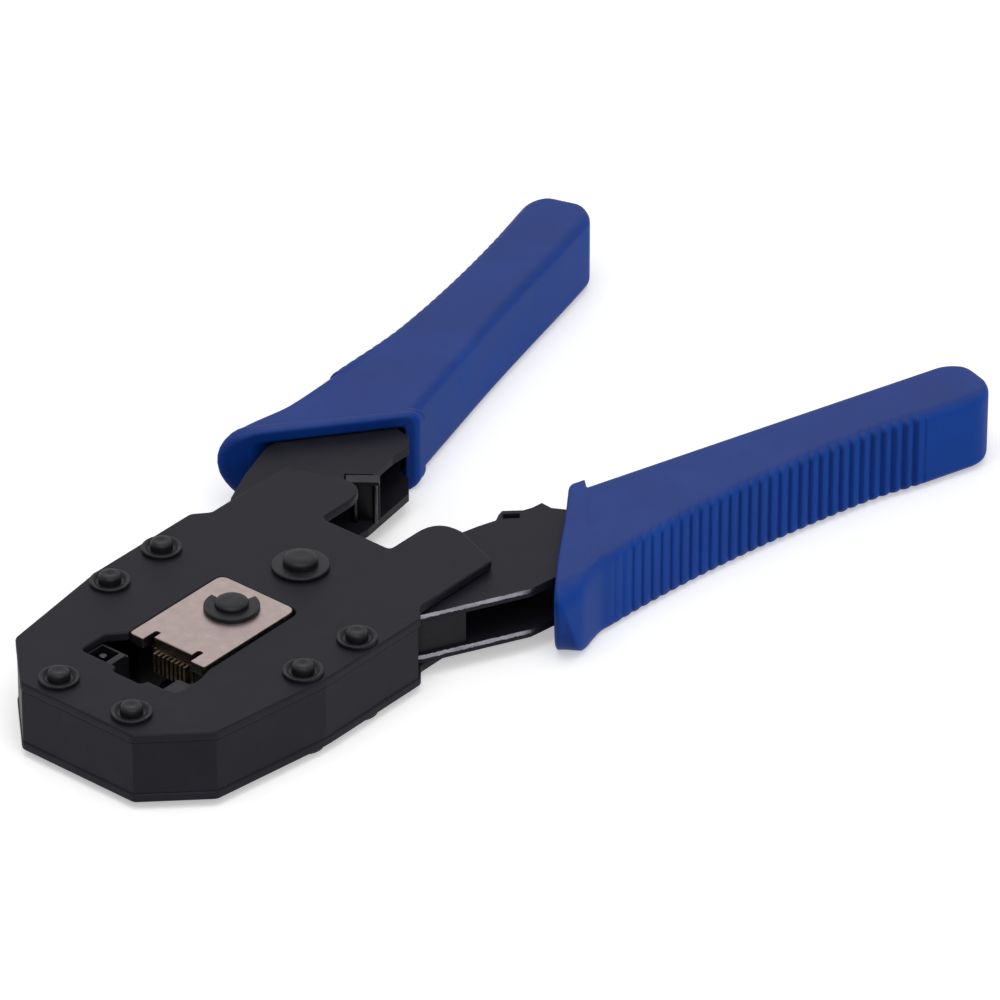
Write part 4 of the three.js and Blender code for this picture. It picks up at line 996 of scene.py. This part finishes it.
def skin_rows():
    """Values of t from tip to mouth: close at the mouth's roll and the rim's step, 0.22 mm apart
    over the ribs, wider beyond them and gathering towards the tip as the sine of even steps."""
    lip = np.array([
        0, 0.06, 0.15, 0.3, 0.5, 0.75, 1.0, 1.3, 1.6, 1.9, 2.3, 2.7, 3.1, 3.4, 3.6, 3.8, 4.0, 4.2,
        4.5, 4.9, 5.4, 6.0, 6.6, 7.2, 7.8, 8.4, 9.0, 9.6, 10.2, 10.8, 11.4,
    ]) / MIDDLE_RUN
    ribbed = np.arange(12.0 / MIDDLE_RUN, 0.866, 0.22 / 107)
    bare = np.linspace(0.869, 0.921, 8)
    tip = 1 - 0.075 * (1 - np.sin(np.linspace(0, np.pi / 2, 20)))
    return np.concatenate([lip, ribbed, bare, tip])[::-1]


def skin_section(grip, t):
    """The grip's rounded rectangles. Near the mouth they flare into the rim, outward by a smooth
    fall and on the inner side by a short step, and at the tip they round off."""
    reach = GRIP_END + grip["longer"]
    length, _, inner_v, outer_v = section_at(grip, t)
    out_depth = outer_v - MOUTH_OUTER_V
    lip_to = grip["inner_lip_to"]
    lip = 1 - smooth_step(lip_to - LIP_FALL, lip_to, inner_v - MOUTH_INNER_V)
    lobe = 1 - smooth_step(grip["lobe_from"], grip["lobe_to"], out_depth)
    start = -grip["inner_lip"] * lip - grip["swell"]
    start = start - grip["tip_inner"] * smooth_step(85, 138, inner_v)
    start = start + round_off(reach - inner_v, TIP_ROUND)
    end = length + grip["lobe"] * lobe + grip["tip_outer"] * smooth_step(114, 126, outer_v)
    end = end - round_off(reach - outer_v, TIP_ROUND)
    room = 0.49 * (end - start)
    corner_in = CORNER_R + (LIP_CORNER_R - CORNER_R) * lip
    corner_out = CORNER_R + (grip["lobe_round"] - CORNER_R) * (1 - smooth_step(0, 15, out_depth))
    half = GRIP_HALF_T - round_off(reach - outer_v, CORNER_R)
    return section(
        start, end, half, np.minimum(corner_in, room), np.minimum(corner_out, room), 0.0
    )


def shape_rim(grip, s, z, across, depth):
    """The rim's lobe leans by lean times the height, fading with depth. Its front is cut back by up
    to slope, most at the bottom, from a crest 1.5 mm deep at the top to 7.5 mm at the bottom. On
    the flat sides the rim stands proud, 0.5 mm above and 0.25 mm below, up to a slanting foot."""
    upward = z / GRIP_HALF_T
    leaning = smooth_step(0.6, 1.0, across) * (1 - smooth_step(0, grip["lean_to"], depth))
    s = s + np.where(z > 0, *grip["lean"]) * leaning * upward
    crest = 1.5 + 6.0 * np.clip(0.5 - upward / 2, 0, 1)
    before_crest = np.clip(1 - depth / crest, 0, 1) * smooth_step(0.75, 1.0, across)
    s = s - grip["slope"] * np.clip(0.6 - upward / 2, 0, 1) * before_crest
    foot = grip["foot"][0] + grip["foot"][1] * across
    proud = np.where(z > 0, 0.5, 0.25) * (1 - smooth_step(foot, foot + 0.45, depth))
    return s, z * (1 + proud / GRIP_HALF_T)


def outer_fullness(grip, v):
    """How far the outer side stands out at v: full before the ribs and over the first of them, less
    the ribs' grooves, whose depth is (1 - |sin|)^1.2 and grows over the first 8 mm."""
    ribs_from = grip["ribs_from"]
    ribbed = smooth_step(ribs_from - 0.5, ribs_from + 0.5, v)
    deeper = 0.4 + 0.6 * smooth_step(ribs_from - 1, ribs_from + 7, v)
    ending = 1 - smooth_step(RIBS_TO_V - 2.0, RIBS_TO_V, v)
    wave = 1 - np.abs(np.sin(np.pi * (v - GROOVE_AT_V) / RIB_PITCH))
    groove = grip["rib"] * wave**1.2 * deeper * ribbed * ending
    beyond = grip["beyond"] * (1 - smooth_step(ribs_from, ribs_from + 22, v))
    return grip["near"] * (1 - ribbed) + beyond * ribbed - groove


def grip_skin(grip):
    """The outer surface, from tip to mouth, as rings: the section at each t, with the rim's shape,
    pushed along its normals by the outer side's fullness and by the roll of the rim's front,
    r - sqrt(r^2 - (r - depth)^2)."""
    t = skin_rows()
    length, _, _, outer_v = section_at(grip, t)
    s, z, normal_s, normal_z = skin_section(grip, t)
    across = np.clip(s / length[:, None], 0, 1)
    depth = t[:, None] * (INNER_RUN + (OUTER_RUN - INNER_RUN) * across)
    s, z = shape_rim(grip, s, z, across, depth)
    outer_side = np.clip(normal_s, 0, 1) * (across > 0.5)
    rolled = 1.0 + grip["roll"] * smooth_step(0.85, 1.1, s / length[:, None])
    curl = rolled - np.sqrt(rolled**2 - np.clip(rolled - depth, 0, rolled * 0.999) ** 2)
    push = outer_fullness(grip, outer_v)[:, None] * outer_side - curl
    s = s + push * normal_s
    z = GRIP_MID_Z + z + push * normal_z
    return handle_place(grip, t, s, z, brought_forward(grip, across, depth))


BORE_END = 84.4
ARM_MID_Z = 8.8
ARM_START = 2.0  # the sleeve's inner wall across the handle, from the grip's inner edge
ARM_BACK = 2.2  # and its outer wall, from the grip's outer edge
FUNNEL_HALF = 5.8
MOUTH_EASE = 0.35  # rounding of the funnel's edge


def grip_bore(grip):
    """The hollow, from mouth to blind end: a funnel 5 mm deep behind the mouth, then a sleeve round
    the arm, 0.03 mm clear of its flat sides."""
    depth = np.concatenate([[0.0, 0.1, 0.35, 2.5, 5.0, 5.3], np.linspace(5.6, BORE_END, 24)])
    t = depth / MIDDLE_RUN
    length, slope_cos, _, _ = section_at(grip, t)
    funnel = 1 - smooth_step(5.0, 5.5, depth)
    eased = MOUTH_EASE * (1 - smooth_step(0.0, MOUTH_EASE, depth))
    start = (ARM_START - 1.4 * funnel) / slope_cos - eased
    end = length - ARM_BACK / slope_cos + eased
    half = grip["arm"] + (FUNNEL_HALF - grip["arm"]) * funnel + eased
    s, z, _, _ = section(start, end, half, 0.4 + 0.8 * funnel, 0.4 + 1.6 * funnel, ARM_MID_Z)
    across = np.clip(s / length[:, None], 0, 1)
    return handle_place(grip, t, s, z, brought_forward(grip, across, depth[:, None]))


def grip_piece(node):
    """Skin and bore joined across the mouth's front face, closed at the tip and the bore's end."""
    grip = GRIPS[node]
    skin = grip_skin(grip)
    bore = grip_bore(grip)
    share = np.array([0.33, 0.67])[:, None, None]
    front = skin[-1][None] * (1 - share) + bore[0][None] * share
    rings = np.concatenate([skin, front, bore])
    tip_pole, bore_pole = rings[0].mean(axis=0), rings[-1].mean(axis=0)
    add_piece(node, *ringed(rings, tip_pole, bore_pole), crease=50)


for grip_node in GRIPS:
    grip_piece(grip_node)


# ---------------------------------------------------------------- stage

def lay_floor():
    """A level sheet of paper under the tool, FLOOR_REACH to each side."""
    corners = np.array([[-1, -1, 0], [1, -1, 0], [1, 1, 0], [-1, 1, 0]]) * FLOOR_REACH * MM
    mesh = bpy.data.meshes.new("studio_floor")
    mesh.from_pydata(corners.tolist(), [], [(0, 1, 2, 3)])
    mesh.materials.append(floor_paper("studio_paper"))
    floor = bpy.data.objects.new("studio_floor", mesh)
    bpy.context.scene.collection.objects.link(floor)


place_camera()
lay_floor()
light_world()
for lamp_values in SOFTBOXES:
    softbox(*lamp_values)
bpy.context.scene.view_settings.view_transform = "Standard"
